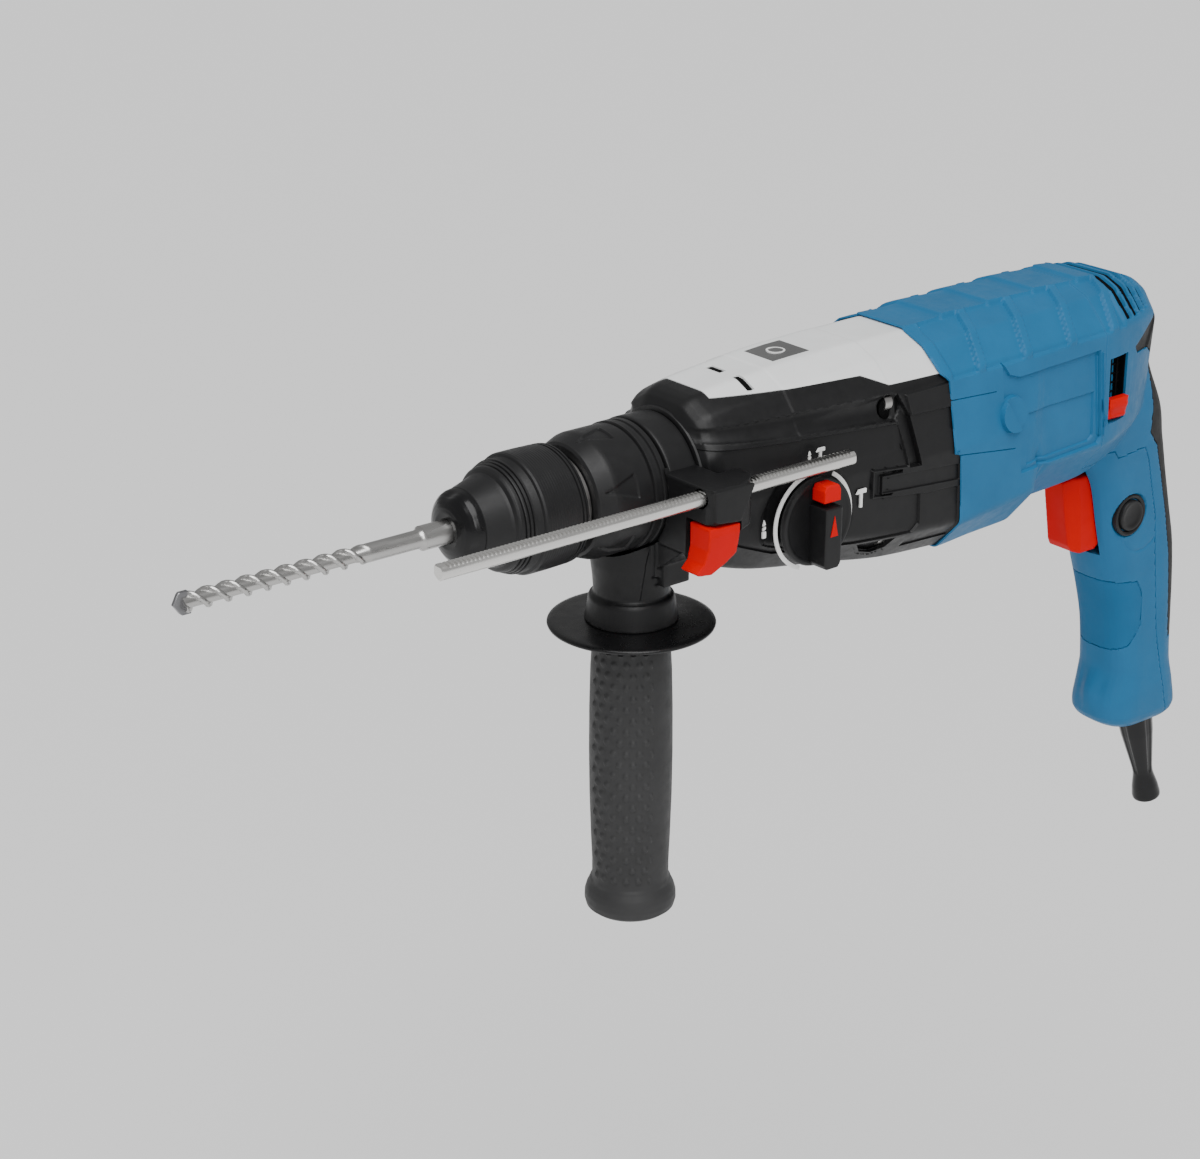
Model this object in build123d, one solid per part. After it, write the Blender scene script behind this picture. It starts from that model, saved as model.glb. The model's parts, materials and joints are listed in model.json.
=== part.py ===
from build123d import *
import os
from math import acos, atan2, cos, degrees, pi, radians, sin, tan

os.makedirs("parts", exist_ok=True)

# Rotary hammer with an SDS chuck, a main handle and a clamped side handle.
# Tool coordinates, in millimetres: X runs back from the chuck's nose along the spindle axis,
# Z is up, and the dial and the depth rod are on the left side, towards -Y.
# Every node is moved so that the middle of the main grip is the origin.

# ---- driving dimensions ----
GRIP_X = 404.0              # middle of the main grip
GRIP_Z = -128.0
PLACE = Location((-GRIP_X, 0, -GRIP_Z))

GAP = 0.3                   # clearance between bodies
RUN = 0.05                  # radial clearance of running fits

SHANK_R = 5.0               # drill bit
HELD_R = 4.6                # shank inside the holder
FLUTE_R = 4.0
NECK_R = 3.7
BIT_TIP = -122.0
BIT_STEP = -12.0
SHANK_END = 45.5

TUBE_R = 13.5               # hammer tube and what slides in it
BORE_R = 11.0
TUBE_END = 176.0
HOLDER_R = 12.0
HOLDER_END = 62.0

SLEEVE_FRONT = 8.0          # chuck sleeves
SLEEVE_BACK = 52.0
RING_FRONT = 57.0
RING_BACK = 91.0

COLLAR_R = 21.5             # housing collar that carries the side handle
BAND_FRONT = 92.0
BAND_BACK = 106.0
BAND_R = 27.3
HOUSING_FRONT = 107.0
HOUSING_BACK = 236.0

GEAR_ANGLE = 25.0           # gears
MOTOR_MODULE = 0.7
MOTOR_TEETH = 12
LARGE_TEETH = 43
SPINDLE_MODULE = 1.0
PINION_TEETH = 12
SPINDLE_TEETH = 34
COUNTER_Z = -SPINDLE_MODULE * (PINION_TEETH + SPINDLE_TEETH) / 2
MOTOR_Z = COUNTER_Z + MOTOR_MODULE * (MOTOR_TEETH + LARGE_TEETH) / 2

WOBBLE_X = 189.0            # wobble drive
DRUM_R = 11.0

FLANGE_FRONT = 216.5        # plate between the gear case and the motor
FLANGE_BACK = 224.0

STATOR_FRONT = 250.0        # motor
STATOR_BACK = 298.0
STATOR_R = 31.5
ARMATURE_R = 18.5
COVER_SEAM = 334.0          # where the rear cover meets the motor housing

WALL = 3.0
CASE_WALL = 5.0

DIAL_X = 156.0              # mode dial on the left side
DIAL_Z = -19.5
DIAL_R = 19.0
DIAL_FACE = -41.0

HANDLE_X = 93.0             # side handle
GUARD_R = 35.3
GUARD_Z = -62.5
KNOB_Z = -194.5

ROD_Y = -47.0               # depth rod
ROD_Z = 6.6
ROD_R = 3.5
ROD_FRONT = -37.0
ROD_BACK = 171.0
BUTTON_OUTLINE = [(88, -4), (104, -4.5), (104, -17.5), (92, -25), (84, -24), (88, -16)]

TRIGGER_HALF = 9.0
LOCK_X = 383.0
LOCK_Z = -77.0
LOCK_R = 7.75
BEZEL_R = 10.25

SCREW_PLACES = [(32, 20), (-32, 20), (31, -40), (-31, -40)]
HANDLE_SCREWS = [(419, 18.0, -172), (394, 18.1, -60), (398, 16.8, -106)]


# ---- shape helpers ----
def save(node, shape):
    """Write one node, moved from tool coordinates to the frame of the part."""
    export_step(PLACE * shape, f"parts/{node}.step")


def box(x0, x1, y0, y1, z0, z1):
    """Box between two corners."""
    centre = Pos((x0 + x1) / 2, (y0 + y1) / 2, (z0 + z1) / 2)
    return centre * Box(x1 - x0, y1 - y0, z1 - z0)


def bar(x0, x1, radius, y=0.0, z=0.0):
    """Cylinder along X."""
    return Pos((x0 + x1) / 2, y, z) * Rot(0, 90, 0) * Cylinder(radius, x1 - x0)


def ring(x0, x1, outer, inner, y=0.0, z=0.0):
    """Tube along X."""
    return bar(x0, x1, outer, y, z) - bar(x0 - 1, x1 + 1, inner, y, z)


def turned(profile, z=0.0):
    """Solid of revolution about an axis along X, from (x, radius) corners."""
    face = make_face(Polyline(*[(x, 0, r) for x, r in profile], close=True))
    return Pos(0, 0, z) * revolve(face, Axis.X, 360)


def turned_upright(profile, x=0.0, y=0.0):
    """Solid of revolution about an axis along Z, from (radius, z) corners."""
    face = make_face(Polyline(*[(r, 0, z) for r, z in profile], close=True))
    return Pos(x, y, 0) * revolve(face, Axis.Z, 360)


def side_block(outline, y0, y1):
    """Side view outline of (x, z) corners, carried across from y0 to y1."""
    face = Plane.XZ * make_face(Polyline(*outline, close=True))
    return Pos(0, y1, 0) * extrude(face, y1 - y0, dir=(0, -1, 0))


def shrink(outline, amount):
    """Move each side of a clockwise closed outline inwards."""
    moved = []
    count = len(outline)
    for i in range(count):
        (ax, ay), (bx, by), (cx, cy) = outline[i - 1], outline[i], outline[(i + 1) % count]
        a = atan2(by - ay, bx - ax)
        c = atan2(cy - by, cx - bx)
        half = (c - a) / 2
        middle = (a + c) / 2
        if abs(c - a) > pi:
            half += pi
            middle += pi
        reach = amount / cos(half)
        moved.append((bx + reach * sin(middle), by - reach * cos(middle)))
    return moved


def cross_section(x, corners, radius, inset=0.0):
    """Face across the tool at x. The corners run down the right side and are mirrored."""
    outline = corners + [(-y, z) for y, z in reversed(corners)]
    outline = shrink(outline, inset) if inset else outline
    sketch = make_face(Polyline(*outline, close=True))
    sketch = fillet(sketch.vertices(), max(radius - inset, 1.0))
    return Plane(origin=(x, 0, 0), x_dir=(0, 1, 0), z_dir=(1, 0, 0)) * sketch


def hull(stations, inset=0.0):
    """Solid through cross sections given as (x, corners, corner radius)."""
    return loft([cross_section(x, corners, r, inset) for x, corners, r in stations], ruled=True)


def grip_hull(levels, inset=0.0):
    """Solid through level sections given as (z, front x, back x, half width, corner radius)."""
    faces = []
    for z, front, back, half, radius in levels:
        plate = RectangleRounded(back - front - 2 * inset, 2 * half - 2 * inset, radius - inset)
        faces.append(Pos((front + back) / 2, 0, z) * plate)
    return loft(faces, ruled=True)


def spring(x0, x1, mean_radius, wire, turns, z=0.0):
    """Compression spring along X."""
    path = Helix(pitch=(x1 - x0 - wire) / turns, height=x1 - x0 - wire, radius=mean_radius)
    face = Plane(origin=path @ 0, z_dir=path % 0) * Circle(wire / 2)
    return Pos(x0 + wire / 2, 0, z) * Rot(0, 90, 0) * sweep(face, path=path, is_frenet=True)


def gear(x0, x1, teeth, module, bore, z=0.0, turn=0.0, slack=0.12):
    """Spur gear along X with involute flanks; a tooth centre stands at the angle turn from +Y."""
    pitch = module * teeth / 2
    base = pitch * cos(radians(GEAR_ANGLE))
    tip = pitch + 0.9 * module
    root = pitch - 1.2 * module
    involute = tan(radians(GEAR_ANGLE)) - radians(GEAR_ANGLE)
    half_tooth = pi / (2 * teeth) - slack / (2 * pitch)
    start = max(base, root)
    flank = []
    for step in range(5):
        r = start + (tip - start) * step / 4
        roll = acos(base / r)
        flank.append((r, half_tooth + involute - (tan(roll) - roll)))
    if root < start:
        flank.insert(0, (root, flank[0][1]))
    corners = []
    for i in range(teeth):
        middle = radians(turn) + 2 * pi * i / teeth
        corners += [(r, middle - a) for r, a in flank]
        corners += [(r, middle + a) for r, a in reversed(flank)]
    points = [(r * cos(a), r * sin(a)) for r, a in corners]
    face = make_face(Polyline(*points, close=True))
    face = Plane(origin=(x0, 0, z), x_dir=(0, 1, 0), z_dir=(1, 0, 0)) * face
    wheel = extrude(face, x1 - x0)
    if bore:
        wheel = wheel - bar(x0 - 1, x1 + 1, bore, z=z)
    return wheel


# ---- outer shapes of the body ----
CASE_STATIONS = [
    (HOUSING_FRONT, [(10, 28), (20, 22), (27, 11), (28.5, -8.5), (23.5, -22), (12.5, -29)], 5),
    (114, [(11.5, 34), (22, 28.5), (31, 15), (34, -6), (31.5, -23), (19.5, -36)], 6),
    (138, [(12, 37.5), (23.5, 32), (34, 18), (38, -6), (37, -28), (26, -42)], 6),
    (172, [(13, 40), (25, 34), (36, 22), (40, -6), (40, -33), (27, -47)], 6),
    (210, [(13, 41), (25, 36), (37, 25), (41.5, -6), (42, -38), (28, -53)], 6),
    (HOUSING_BACK, [(13, 41.5), (25, 36.5), (37, 26), (42, -6), (43, -40), (28, -55)], 6),
]

MOTOR_STATIONS = [
    (HOUSING_BACK, [(14, 42.5), (26, 38), (38.5, 27), (43, -6), (44, -40), (29, -56)], 6),
    (262, [(14, 44), (26, 39.5), (38.5, 28), (43, -6), (43.5, -38), (28, -55)], 6),
    (287, [(14, 44.5), (26, 40), (38.5, 28), (42.5, -6), (42.5, -36), (27, -54.5)], 6),
    (297, [(14, 44.8), (26, 40.3), (38.5, 28), (41.5, -26), (25, -47), (10, -54)], 6),
    (335, [(14, 45), (25, 41), (37.5, 28), (39, -26), (23, -46), (10, -53)], 6),
    (360, [(13, 44), (22, 40), (33, 27), (32, -24), (21, -40), (10, -50)], 6),
    (380, [(11, 38), (17, 35), (25, 24), (22, -20), (15, -32), (8, -40)], 4),
    (388, [(9, 30), (14, 27), (19, 20), (16, -12), (10, -20), (6, -24)], 3),
]

HANDLE_LEVELS = [
    (-192, 389, 430, 14.5, 12),
    (-187, 382.5, 433.5, 18, 14),
    (-174, 380.5, 431, 18.5, 14),
    (-160, 385, 428, 17.5, 13),
    (-140, 383, 427, 17, 13),
    (-120, 378, 426, 17, 13),
    (-100, 371.5, 424, 17, 13),
    (-80, 366, 419, 17.5, 13),
    (-60, 361, 413.5, 18.5, 13),
    (-42, 352, 408.5, 20, 13),
    (-24, 350, 402, 22, 12),
    (-4, 352, 392, 21, 10),
    (16, 356, 385, 19, 8),
]

COVER_EDGE = [(119, 60), (121, 31), (187, 29.5), (198, 25), (240, 25), (240, 60)]
REAR_REGION = [
    (COVER_SEAM, 60), (COVER_SEAM, -40), (352, -42), (366, -41), (369, -45), (387, -43),
    (391, -50), (401, -81), (409, -144), (417, -180), (424, -200), (480, -200), (480, 60),
]
RUBBER_REGION = [
    (377, 22), (378, 12), (384, 5), (386, -8), (388, -20), (389, -36), (396, -44), (402, -60),
    (409, -82), (414, -104), (417, -130), (419, -149), (480, -149), (480, 22),
]
INSERT_REGION = [(360, -108), (392, -113), (396, -120), (397, -137), (391, -147), (380, -152), (360, -150)]


def case_hull(inset=0.0):
    return hull(CASE_STATIONS, inset)


def motor_hull(inset=0.0):
    return hull(MOTOR_STATIONS, inset) + grip_hull(HANDLE_LEVELS, inset)


def screw_bosses(x0, x1, radius):
    """Posts that the housing screws run in."""
    posts = [bar(x0, x1, radius, y, z) for y, z in SCREW_PLACES]
    return posts[0] + posts[1] + posts[2] + posts[3]


# ---- gear case ----
def gear_housing():
    outer = case_hull()
    room = case_hull(CASE_WALL) & box(112, HOUSING_BACK + 1, -60, 60, -70, 60)
    web = room & box(119, 126, -60, 60, -70, 60)
    shell = outer - room + web
    shell += screw_bosses(197, HOUSING_BACK, 5.5) & outer
    shell += bar(BAND_FRONT - 0.7, HOUSING_FRONT + 1, COLLAR_R) + bar(BAND_BACK + GAP, HOUSING_FRONT + 1, 24)
    shell -= bar(BAND_FRONT - 5, 112.5, 19)
    shell -= bar(112, 130, TUBE_R + 1)
    shell -= bar(115, 130, 7.5, z=COUNTER_Z)
    shell -= screw_bosses(185, 204, 4.2)
    shell -= screw_bosses(203, HOUSING_BACK + 1, 2.3)
    shell -= (outer - case_hull(2.2)) & side_block(COVER_EDGE, -60, 60)
    shell += Pos(DIAL_X, -38.5, DIAL_Z) * Rot(90, 0, 0) * Cylinder(22.5, 4)
    shell -= Pos(DIAL_X, -34, DIAL_Z) * Rot(90, 0, 0) * Cylinder(8 + GAP, 20)
    shell -= box(98, 192, -60, -35.6, 22.5, 26.5)
    return shell


def top_cover():
    skin = (case_hull() - case_hull(2.2)) & side_block(COVER_EDGE, -60, 60)
    for x, y in [(134, -9), (146, -15)]:
        skin -= Pos(x, y, 36) * Box(9, 2.6, 20)
    return skin


def gear_carrier():
    plate = case_hull(CASE_WALL + 0.2) & box(165, 170, -60, 60, -70, 60)
    plate -= bar(160, 175, TUBE_R + RUN)
    return plate - bar(160, 175, 5 + RUN, z=COUNTER_Z)


def gear_flange():
    plate = case_hull(CASE_WALL + 0.2) & box(FLANGE_FRONT, FLANGE_BACK, -60, 60, -70, 60)
    plate -= screw_bosses(FLANGE_FRONT - 1, FLANGE_BACK + 1, 5.7)
    plate -= bar(FLANGE_FRONT - 1, FLANGE_BACK + 1, 10.5, z=MOTOR_Z)
    return plate - bar(FLANGE_FRONT - 1, FLANGE_BACK + 1, 7.5, z=COUNTER_Z)


def housing_screws():
    screws = []
    for y, z in SCREW_PLACES:
        screw = bar(200, 204, 4.1, y, z) + bar(203, 250, 2.2, y, z)
        screws.append(screw - bar(199, 202, 1.8, y, z))
    return Compound(screws)


def ball_bearing(x0, x1, outer, bore, z=0.0):
    """Bearing as one piece, with the groove between its rings on both faces."""
    body = ring(x0, x1, outer, bore, z=z)
    wide = bore + 0.68 * (outer - bore)
    narrow = bore + 0.34 * (outer - bore)
    for face in (x0 - 1, x1 - 0.8):
        body -= ring(face, face + 1.8, wide, narrow, z=z)
    return body


# ---- chuck and spindle ----
def tool_holder():
    body = bar(SLEEVE_FRONT, HOLDER_END, HOLDER_R)
    body -= bar(SLEEVE_FRONT - 1, SHANK_END + 1, SHANK_R + RUN)
    body -= bar(SHANK_END + 0.2, HOLDER_END + 1, 8.2)
    for side in (1, -1):
        body += box(28, 44, -1.4, 1.4, min(side * 4, side * 6), max(side * 4, side * 6))
        body -= Pos(22, side * 8.5, 0) * Box(7.4, 9, 7.4)
    return body


def locking_balls():
    return Compound([Pos(22, side * 7.4, 0) * Sphere(3.4) for side in (1, -1)])


def nose_cap():
    return turned([(0, 5.4), (0, 9), (0.9, 11.4), (2.4, 13.6), (4.6, 15.1), (7.7, 15.8), (7.7, 5.4)])


def chuck_body():
    return ring(48.5, RING_FRONT - GAP, 19.5, HOLDER_R)


def hammer_tube():
    return ring(HOLDER_END, TUBE_END, TUBE_R, BORE_R)


def locking_sleeve():
    rear = SLEEVE_BACK
    outside = [(SLEEVE_FRONT, 15.9), (19, 18.9), (21.5, 20.2)]
    for x, r in [(23, 21.2), (25, 22.3), (27, 23.2), (29, 23.9)]:
        outside += [(x, r), (x + 1.3, r + 0.35), (x + 1.5, r - 0.25)]
    outside += [(33, 24.4), (36.5, 24.5), (37, 23.8), (38.5, 23.8), (39, 24.5), (rear, 24.6)]
    inside = [(rear, 20.0), (25, 20.0), (25, HOLDER_R + GAP), (SLEEVE_FRONT, HOLDER_R + GAP)]
    return turned(outside + inside)


def change_ring():
    outside = [(RING_FRONT, 23.8), (65, 26.3), (82.5, 26.3), (83.2, 25.7), (84, 26.9), (87, 26.9),
               (87.4, 26.3), (88, 26.3), (88.4, 26.9), (RING_BACK, 26.9)]
    inside = [(RING_BACK, 21.0), (66, 21.0), (66, TUBE_R + GAP), (RING_FRONT, TUBE_R + GAP)]
    return turned(outside + inside)


def shank_grooves():
    """Two open drive grooves and two closed locking grooves of the shank."""
    cut = []
    for side in (1, -1):
        cut.append(box(14, SHANK_END + 1, -1.75, 1.75, min(side * 3.7, side * 6), max(side * 3.7, side * 6)))
        cut.append(box(15, 40, min(side * 3.6, side * 6), max(side * 3.6, side * 6), -3.8, 3.8))
    return cut


def drill_bit():
    shank = bar(BIT_STEP, 0, SHANK_R) + bar(0, SHANK_END, HELD_R) - shank_grooves()
    neck = turned([(-40, 0), (-40, NECK_R), (BIT_STEP - 2, NECK_R), (BIT_STEP, SHANK_R), (BIT_STEP, 0)])
    web = Circle(FLUTE_R)
    for side in (1, -1):
        web -= Pos(side * 3.9, 0) * Circle(2.5)
    face = Plane(origin=(-118, 0, 0), x_dir=(0, 1, 0), z_dir=(1, 0, 0)) * web
    fluted = Solid.extrude_linear_with_rotation(face.faces()[0], (-118, 0, 0), (78, 0, 0), 360 * 4.5)
    point = turned([(-120.5, 0), (-118, 3.2), (-118, 0)])
    slot = box(-123, -115, -0.9, 0.9, -5, 5)
    return shank + neck + (fluted + point - slot)


def carbide_tip():
    outline = [(BIT_TIP, 0), (-119, 4.3), (-115, 4.3), (-115, -4.3), (-119, -4.3)]
    return side_block(outline, -0.9, 0.9)


def impact_bolt():
    return turned([(46, 0), (46, 6), (48, 7.9), (70, 7.9), (72, 10.7), (80, 10.7), (82, 6), (92, 6), (92, 0)])


def striker():
    body = turned([(112, 0), (112, 8), (113.5, 10.9), (126, 10.9), (126, 10.2), (128.5, 10.2),
                   (128.5, 10.9), (138, 10.9), (138, 0)])
    seal = Pos(127.25, 0, 0) * Rot(0, 90, 0) * Torus(10.55, 0.42)
    return body + seal


def piston():
    crown = bar(150, 170, BORE_R - RUN) - bar(152, 171, 8.5)
    crown += box(163, 170, -9, 9, -5, 5)
    for side in (1, -1):
        ear = box(165, 194, min(side * 5, side * 9), max(side * 5, side * 9), -5, 5)
        crown += ear
    crown = crown - Pos(WOBBLE_X, 0, 0) * Rot(90, 0, 0) * Cylinder(3, 30)
    return crown


def piston_pin():
    pin = Pos(WOBBLE_X, 0, 0) * Rot(90, 0, 0) * Cylinder(3, 18)
    return pin - Pos(WOBBLE_X, 0, 0) * Cylinder(2.5, 12)


# ---- countershaft and wobble drive ----
def countershaft():
    shaft = bar(118, 223.5, 5 - RUN, z=COUNTER_Z)
    pinion = gear(145, 157, PINION_TEETH, SPINDLE_MODULE, 0, COUNTER_Z, 90)
    drum = Pos(WOBBLE_X, 0, COUNTER_Z) * Sphere(DRUM_R)
    return shaft + pinion + drum


def wobble_ring():
    hoop = ring(WOBBLE_X - 4, WOBBLE_X + 4, 15, 8, z=COUNTER_Z)
    hoop -= Pos(WOBBLE_X, 0, COUNTER_Z) * Sphere(DRUM_R + GAP)
    low = COUNTER_Z + 13
    arm = Pos(WOBBLE_X, 0, (low + 2) / 2) * Cylinder(1.5, 2 - low)
    pivot = Pos(WOBBLE_X, 0, COUNTER_Z) * Rot(90, 0, 0) * Cylinder(1.5, 40)
    return hoop + arm - pivot


# ---- motor ----
def armature_shaft():
    shaft = bar(216, 352, 4, z=MOTOR_Z) + bar(230, 335, 5, z=MOTOR_Z)
    return shaft + gear(204, 217, MOTOR_TEETH, MOTOR_MODULE, 0, MOTOR_Z, -90)


def armature_core():
    core = ring(252, 297, ARMATURE_R, 5, z=MOTOR_Z)
    for i in range(12):
        slot = Pos(274.5, 0, MOTOR_Z) * Rot(30 * i, 0, 0) * Pos(0, 0, 15.5) * Box(50, 2.4, 7)
        core -= slot
    return core


def armature_windings():
    coils = [turned([(243, 8), (245, 15.5), (252, 17.2), (252, 5), (243, 5)], MOTOR_Z),
             turned([(297, 17.2), (304, 15.5), (309, 9), (309, 5), (297, 5)], MOTOR_Z)]
    for i in range(12):
        coils.append(Pos(274.5, 0, MOTOR_Z) * Rot(30 * i, 0, 0) * Pos(0, 0, 14.6) * Box(45, 2.3, 4.8))
    return Compound(coils)


def commutator():
    body = ring(311, 326, 12.5, 5, z=MOTOR_Z)
    for i in range(16):
        body -= Pos(318.5, 0, MOTOR_Z) * Rot(22.5 * i, 0, 0) * Pos(0, 0, 12.5) * Box(16, 0.6, 1.6)
    return body


def fan():
    body = ring(228, 243, 9, 5, z=MOTOR_Z) + ring(240, 241.6, 31, 8, z=MOTOR_Z)
    for i in range(11):
        turn = Pos(0, 0, MOTOR_Z) * Rot(360 / 11 * i, 0, 0)
        body += turn * Pos(235, 0, 20.5) * Box(10.2, 1.4, 20)
    return body


def stator_core():
    core = ring(STATOR_FRONT, STATOR_BACK, STATOR_R, 25.5, z=MOTOR_Z)
    band = ring(STATOR_FRONT, STATOR_BACK, 26.5, ARMATURE_R + 0.6, z=MOTOR_Z)
    for side in (1, -1):
        low, high = sorted((0, side * 40))
        core += band & (Pos(0, 0, MOTOR_Z) * box(STATOR_FRONT, STATOR_BACK, -12, 12, low, high))
    return core


def field_coils():
    coils = []
    space = ring(244, 304, 25.2, ARMATURE_R + 1.2, z=MOTOR_Z)
    for low, high in ((5, 30), (-30, -5)):
        hoop = box(244.5, 303.5, -18, 18, low, high) - box(249.7, 298.3, -12.2, 12.2, low - 1, high + 1)
        coils += list((space & (Pos(0, 0, MOTOR_Z) * hoop)).solids())
    return Compound(coils)


def brush_plate():
    plate = ring(327.5, 330.5, 28, 14, z=MOTOR_Z)
    for side in (1, -1):
        tube = Box(12, 8, 13) - Box(8.4, 5.4, 14)
        plate += Pos(319, 0, MOTOR_Z + side * 20.5) * tube
        low, high = sorted((side * 14, side * 27))
        plate += Pos(0, 0, MOTOR_Z) * box(324.5, 328, -4, 4, low, high)
    return plate


def carbon_brushes():
    return Compound([Pos(319, 0, MOTOR_Z + side * 19.2) * Box(8, 5, 13) for side in (1, -1)])


def direction_lever():
    """Finger pad in the window, on an arm from the brush plate."""
    around = ring(336, 352, 39.2, 34.8, z=MOTOR_Z)
    pad = around & box(338.3, 351, -45, -20, -16, -5.3)
    arm = ring(328.5, 339, 34.1, 32.6, z=MOTOR_Z)
    arm += ring(338.5, 346, 35.0, 32.8, z=MOTOR_Z)
    arm += ring(328.5, 330.5, 34.1, 28, z=MOTOR_Z)
    return pad + (arm & box(328, 347, -45, -20, -14, -7))


# ---- motor housing and main handle ----
def regions():
    rear = side_block(REAR_REGION, -60, 60)
    rubber = side_block(RUBBER_REGION, -60, 60)
    insert = side_block(INSERT_REGION, -60, 60)
    return rear, rubber, insert


def trigger_opening():
    return box(340, 384, -TRIGGER_HALF - 0.6, TRIGGER_HALF + 0.6, -97, -52)


def motor_housing(outer, inner, rear, insert):
    shell = outer - inner
    for x in (253, 291):
        web = hull(MOTOR_STATIONS, WALL) & box(x, x + 4, -60, 60, -70, 60)
        shell += web - bar(x - 1, x + 5, STATOR_R, z=MOTOR_Z)
    shell += (screw_bosses(HOUSING_BACK, 253, 5.5) & outer)
    shell -= screw_bosses(HOUSING_BACK - 1, 252, 2.3)
    shell -= rear
    shell -= insert & (outer - motor_hull(1.5))
    shell -= trigger_opening()
    shell -= lock_hole()
    shell -= handle_screw_holes()
    return shell - box(272, 327, -60, -41.4, -24, 21)


def lock_hole():
    return Pos(LOCK_X, -16, LOCK_Z) * Rot(90, 0, 0) * Cylinder(BEZEL_R, 12)


def handle_screw_holes():
    """Pockets of the handle screws, closed over their cross recess."""
    return [Pos(x, half, z) * Rot(90, 0, 0) * Cylinder(2.8, 8) for x, half, z in HANDLE_SCREWS]


def vent_slots():
    """Four slots over the rear of the top."""
    slots = [Pos(x, 0, 44) * Rot(0, 12, 0) * Box(2.6, 40, 14) for x in (352, 358.5, 365, 371.5)]
    return slots


def rear_handle_shell(outer, inner, rear, rubber):
    shell = (outer - inner) & rear
    shell -= rubber
    shell -= trigger_opening()
    shell -= lock_hole()
    shell -= handle_screw_holes()
    shell -= vent_slots()
    return shell - box(337.8, 351.6, -60, -28, -17, 14)


def rubber_back(outer, inner, rubber):
    return (outer - inner) & rubber


def grip_insert(outer, insert):
    return (insert & (outer - motor_hull(1.5))) - side_block(REAR_REGION, -60, 60)


def vent_grille():
    """Ribbed plate behind the side window, deep enough for the lever to pass in front."""
    plate = box(336, 352, -29.5, -28, -18, 14)
    for x in (340.5, 344.7, 348.9):
        plate += box(x - 0.6, x + 0.6, -30.5, -28.5, -17, 13)
    return plate


def rear_bearing_bracket():
    plate = hull(MOTOR_STATIONS, WALL + 0.2) & box(343, 350, -26, 26, -70, 60)
    plate -= side_block([(330, -30), (360, -30), (360, -80), (330, -80)], -60, 60)
    return plate - bar(342, 351, 10.5, z=MOTOR_Z)


def switch_module():
    return box(381, 404, -9.4, 12, -100, -58) + box(392, 400, -6, 8, -104, -99)


def lock_bezel():
    return Pos(LOCK_X, -16.4, LOCK_Z) * Rot(90, 0, 0) * (Cylinder(BEZEL_R, 3.6) - Cylinder(LOCK_R + GAP, 8))


def lock_button():
    cap = Pos(LOCK_X, -16.2, LOCK_Z) * Rot(90, 0, 0) * Cylinder(LOCK_R, 5.4)
    return cap - Pos(LOCK_X, -18.9, LOCK_Z) * Rot(90, 0, 0) * Cylinder(5.5, 0.8)


def trigger():
    outline = [(347, -56), (352, -54.3), (372, -54.3), (372, -93.5), (355.5, -93.5), (352.6, -91)]
    body = side_block(outline, -TRIGGER_HALF, TRIGGER_HALF)
    front = body.edges().filter_by(Axis.Y).group_by(Axis.X)[0]
    body = fillet(front, 1.5)
    return body + bar(371, 374, 4, z=-76) - bar(373, 380, 2, z=-76)


def trigger_spring():
    return spring(374.2, 380.8, 3.0, 0.8, 4, -76)


def handle_screws():
    screws = []
    for x, half, z in HANDLE_SCREWS:
        head = Pos(x, half - 2, z) * Rot(90, 0, 0) * Cylinder(2.8, 4)
        screws.append(head - Pos(x, half - 0.5, z) * Rot(90, 0, 0) * Cylinder(1.4, 1.6))
    return Compound(screws)


def cord_clamp():
    return box(398, 414, -11, 11, -172, -164) - box(404, 411, -4, 4, -180, -160)


def cord_boot():
    """Strain relief, leaning back below the foot of the handle."""
    lean = degrees(atan2(16, 55))
    profile = [(0, 0), (10.5, 0), (10.5, -3), (9.3, -5.5), (8.4, -18), (5.0, -42), (5.0, -44),
               (7.2, -57.5), (6.4, -59), (3.6, -59), (3.4, -56.5), (0, -56.5)]
    return Pos(415.5, 0, -188.5) * Rot(0, -lean, 0) * turned_upright(profile)


# ---- mode dial ----
def dial_ring():
    face = Pos(DIAL_X, DIAL_FACE + 0.25, DIAL_Z) * Rot(90, 0, 0)
    return face * (Cylinder(21.8, 0.5) - Cylinder(DIAL_R + 0.6, 2))


def mode_dial():
    face = Pos(DIAL_X, 0, DIAL_Z)
    disc = Pos(0, DIAL_FACE - 2, 0) * Rot(90, 0, 0) * Cylinder(DIAL_R, 3.6)
    grip = Pos(0, DIAL_FACE - 8, 0) * Box(10, 10, 37)
    grip &= Pos(0, DIAL_FACE - 8, 0) * Rot(90, 0, 0) * Cylinder(DIAL_R - 0.3, 12)
    shaft = Pos(0, DIAL_FACE + 5, 0) * Rot(90, 0, 0) * Cylinder(8, 12)
    cam = Pos(4.5, DIAL_FACE + 13, 0) * Rot(90, 0, 0) * Cylinder(2, 6)
    pocket = Pos(0, DIAL_FACE - 9.5, 15.5) * Box(7, 8, 12)
    return face * (disc + grip + shaft + cam - pocket)


def dial_button():
    key = Pos(0, DIAL_FACE - 9.7, 15) * Box(6.4, 7, 6.4)
    key &= Pos(0, DIAL_FACE - 9.5, 0) * Rot(90, 0, 0) * Cylinder(DIAL_R - 0.3, 12)
    return Pos(DIAL_X, 0, DIAL_Z) * key


# ---- side handle ----
def clamp_band():
    band = ring(BAND_FRONT, BAND_BACK, BAND_R, COLLAR_R + GAP)
    legs = box(BAND_FRONT + 1, BAND_BACK - 1, -6, 6, -40, -24) - bar(90, 110, 24)
    return band + legs - Pos(HANDLE_X, 0, -38) * Cylinder(4.2, 40)


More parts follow.
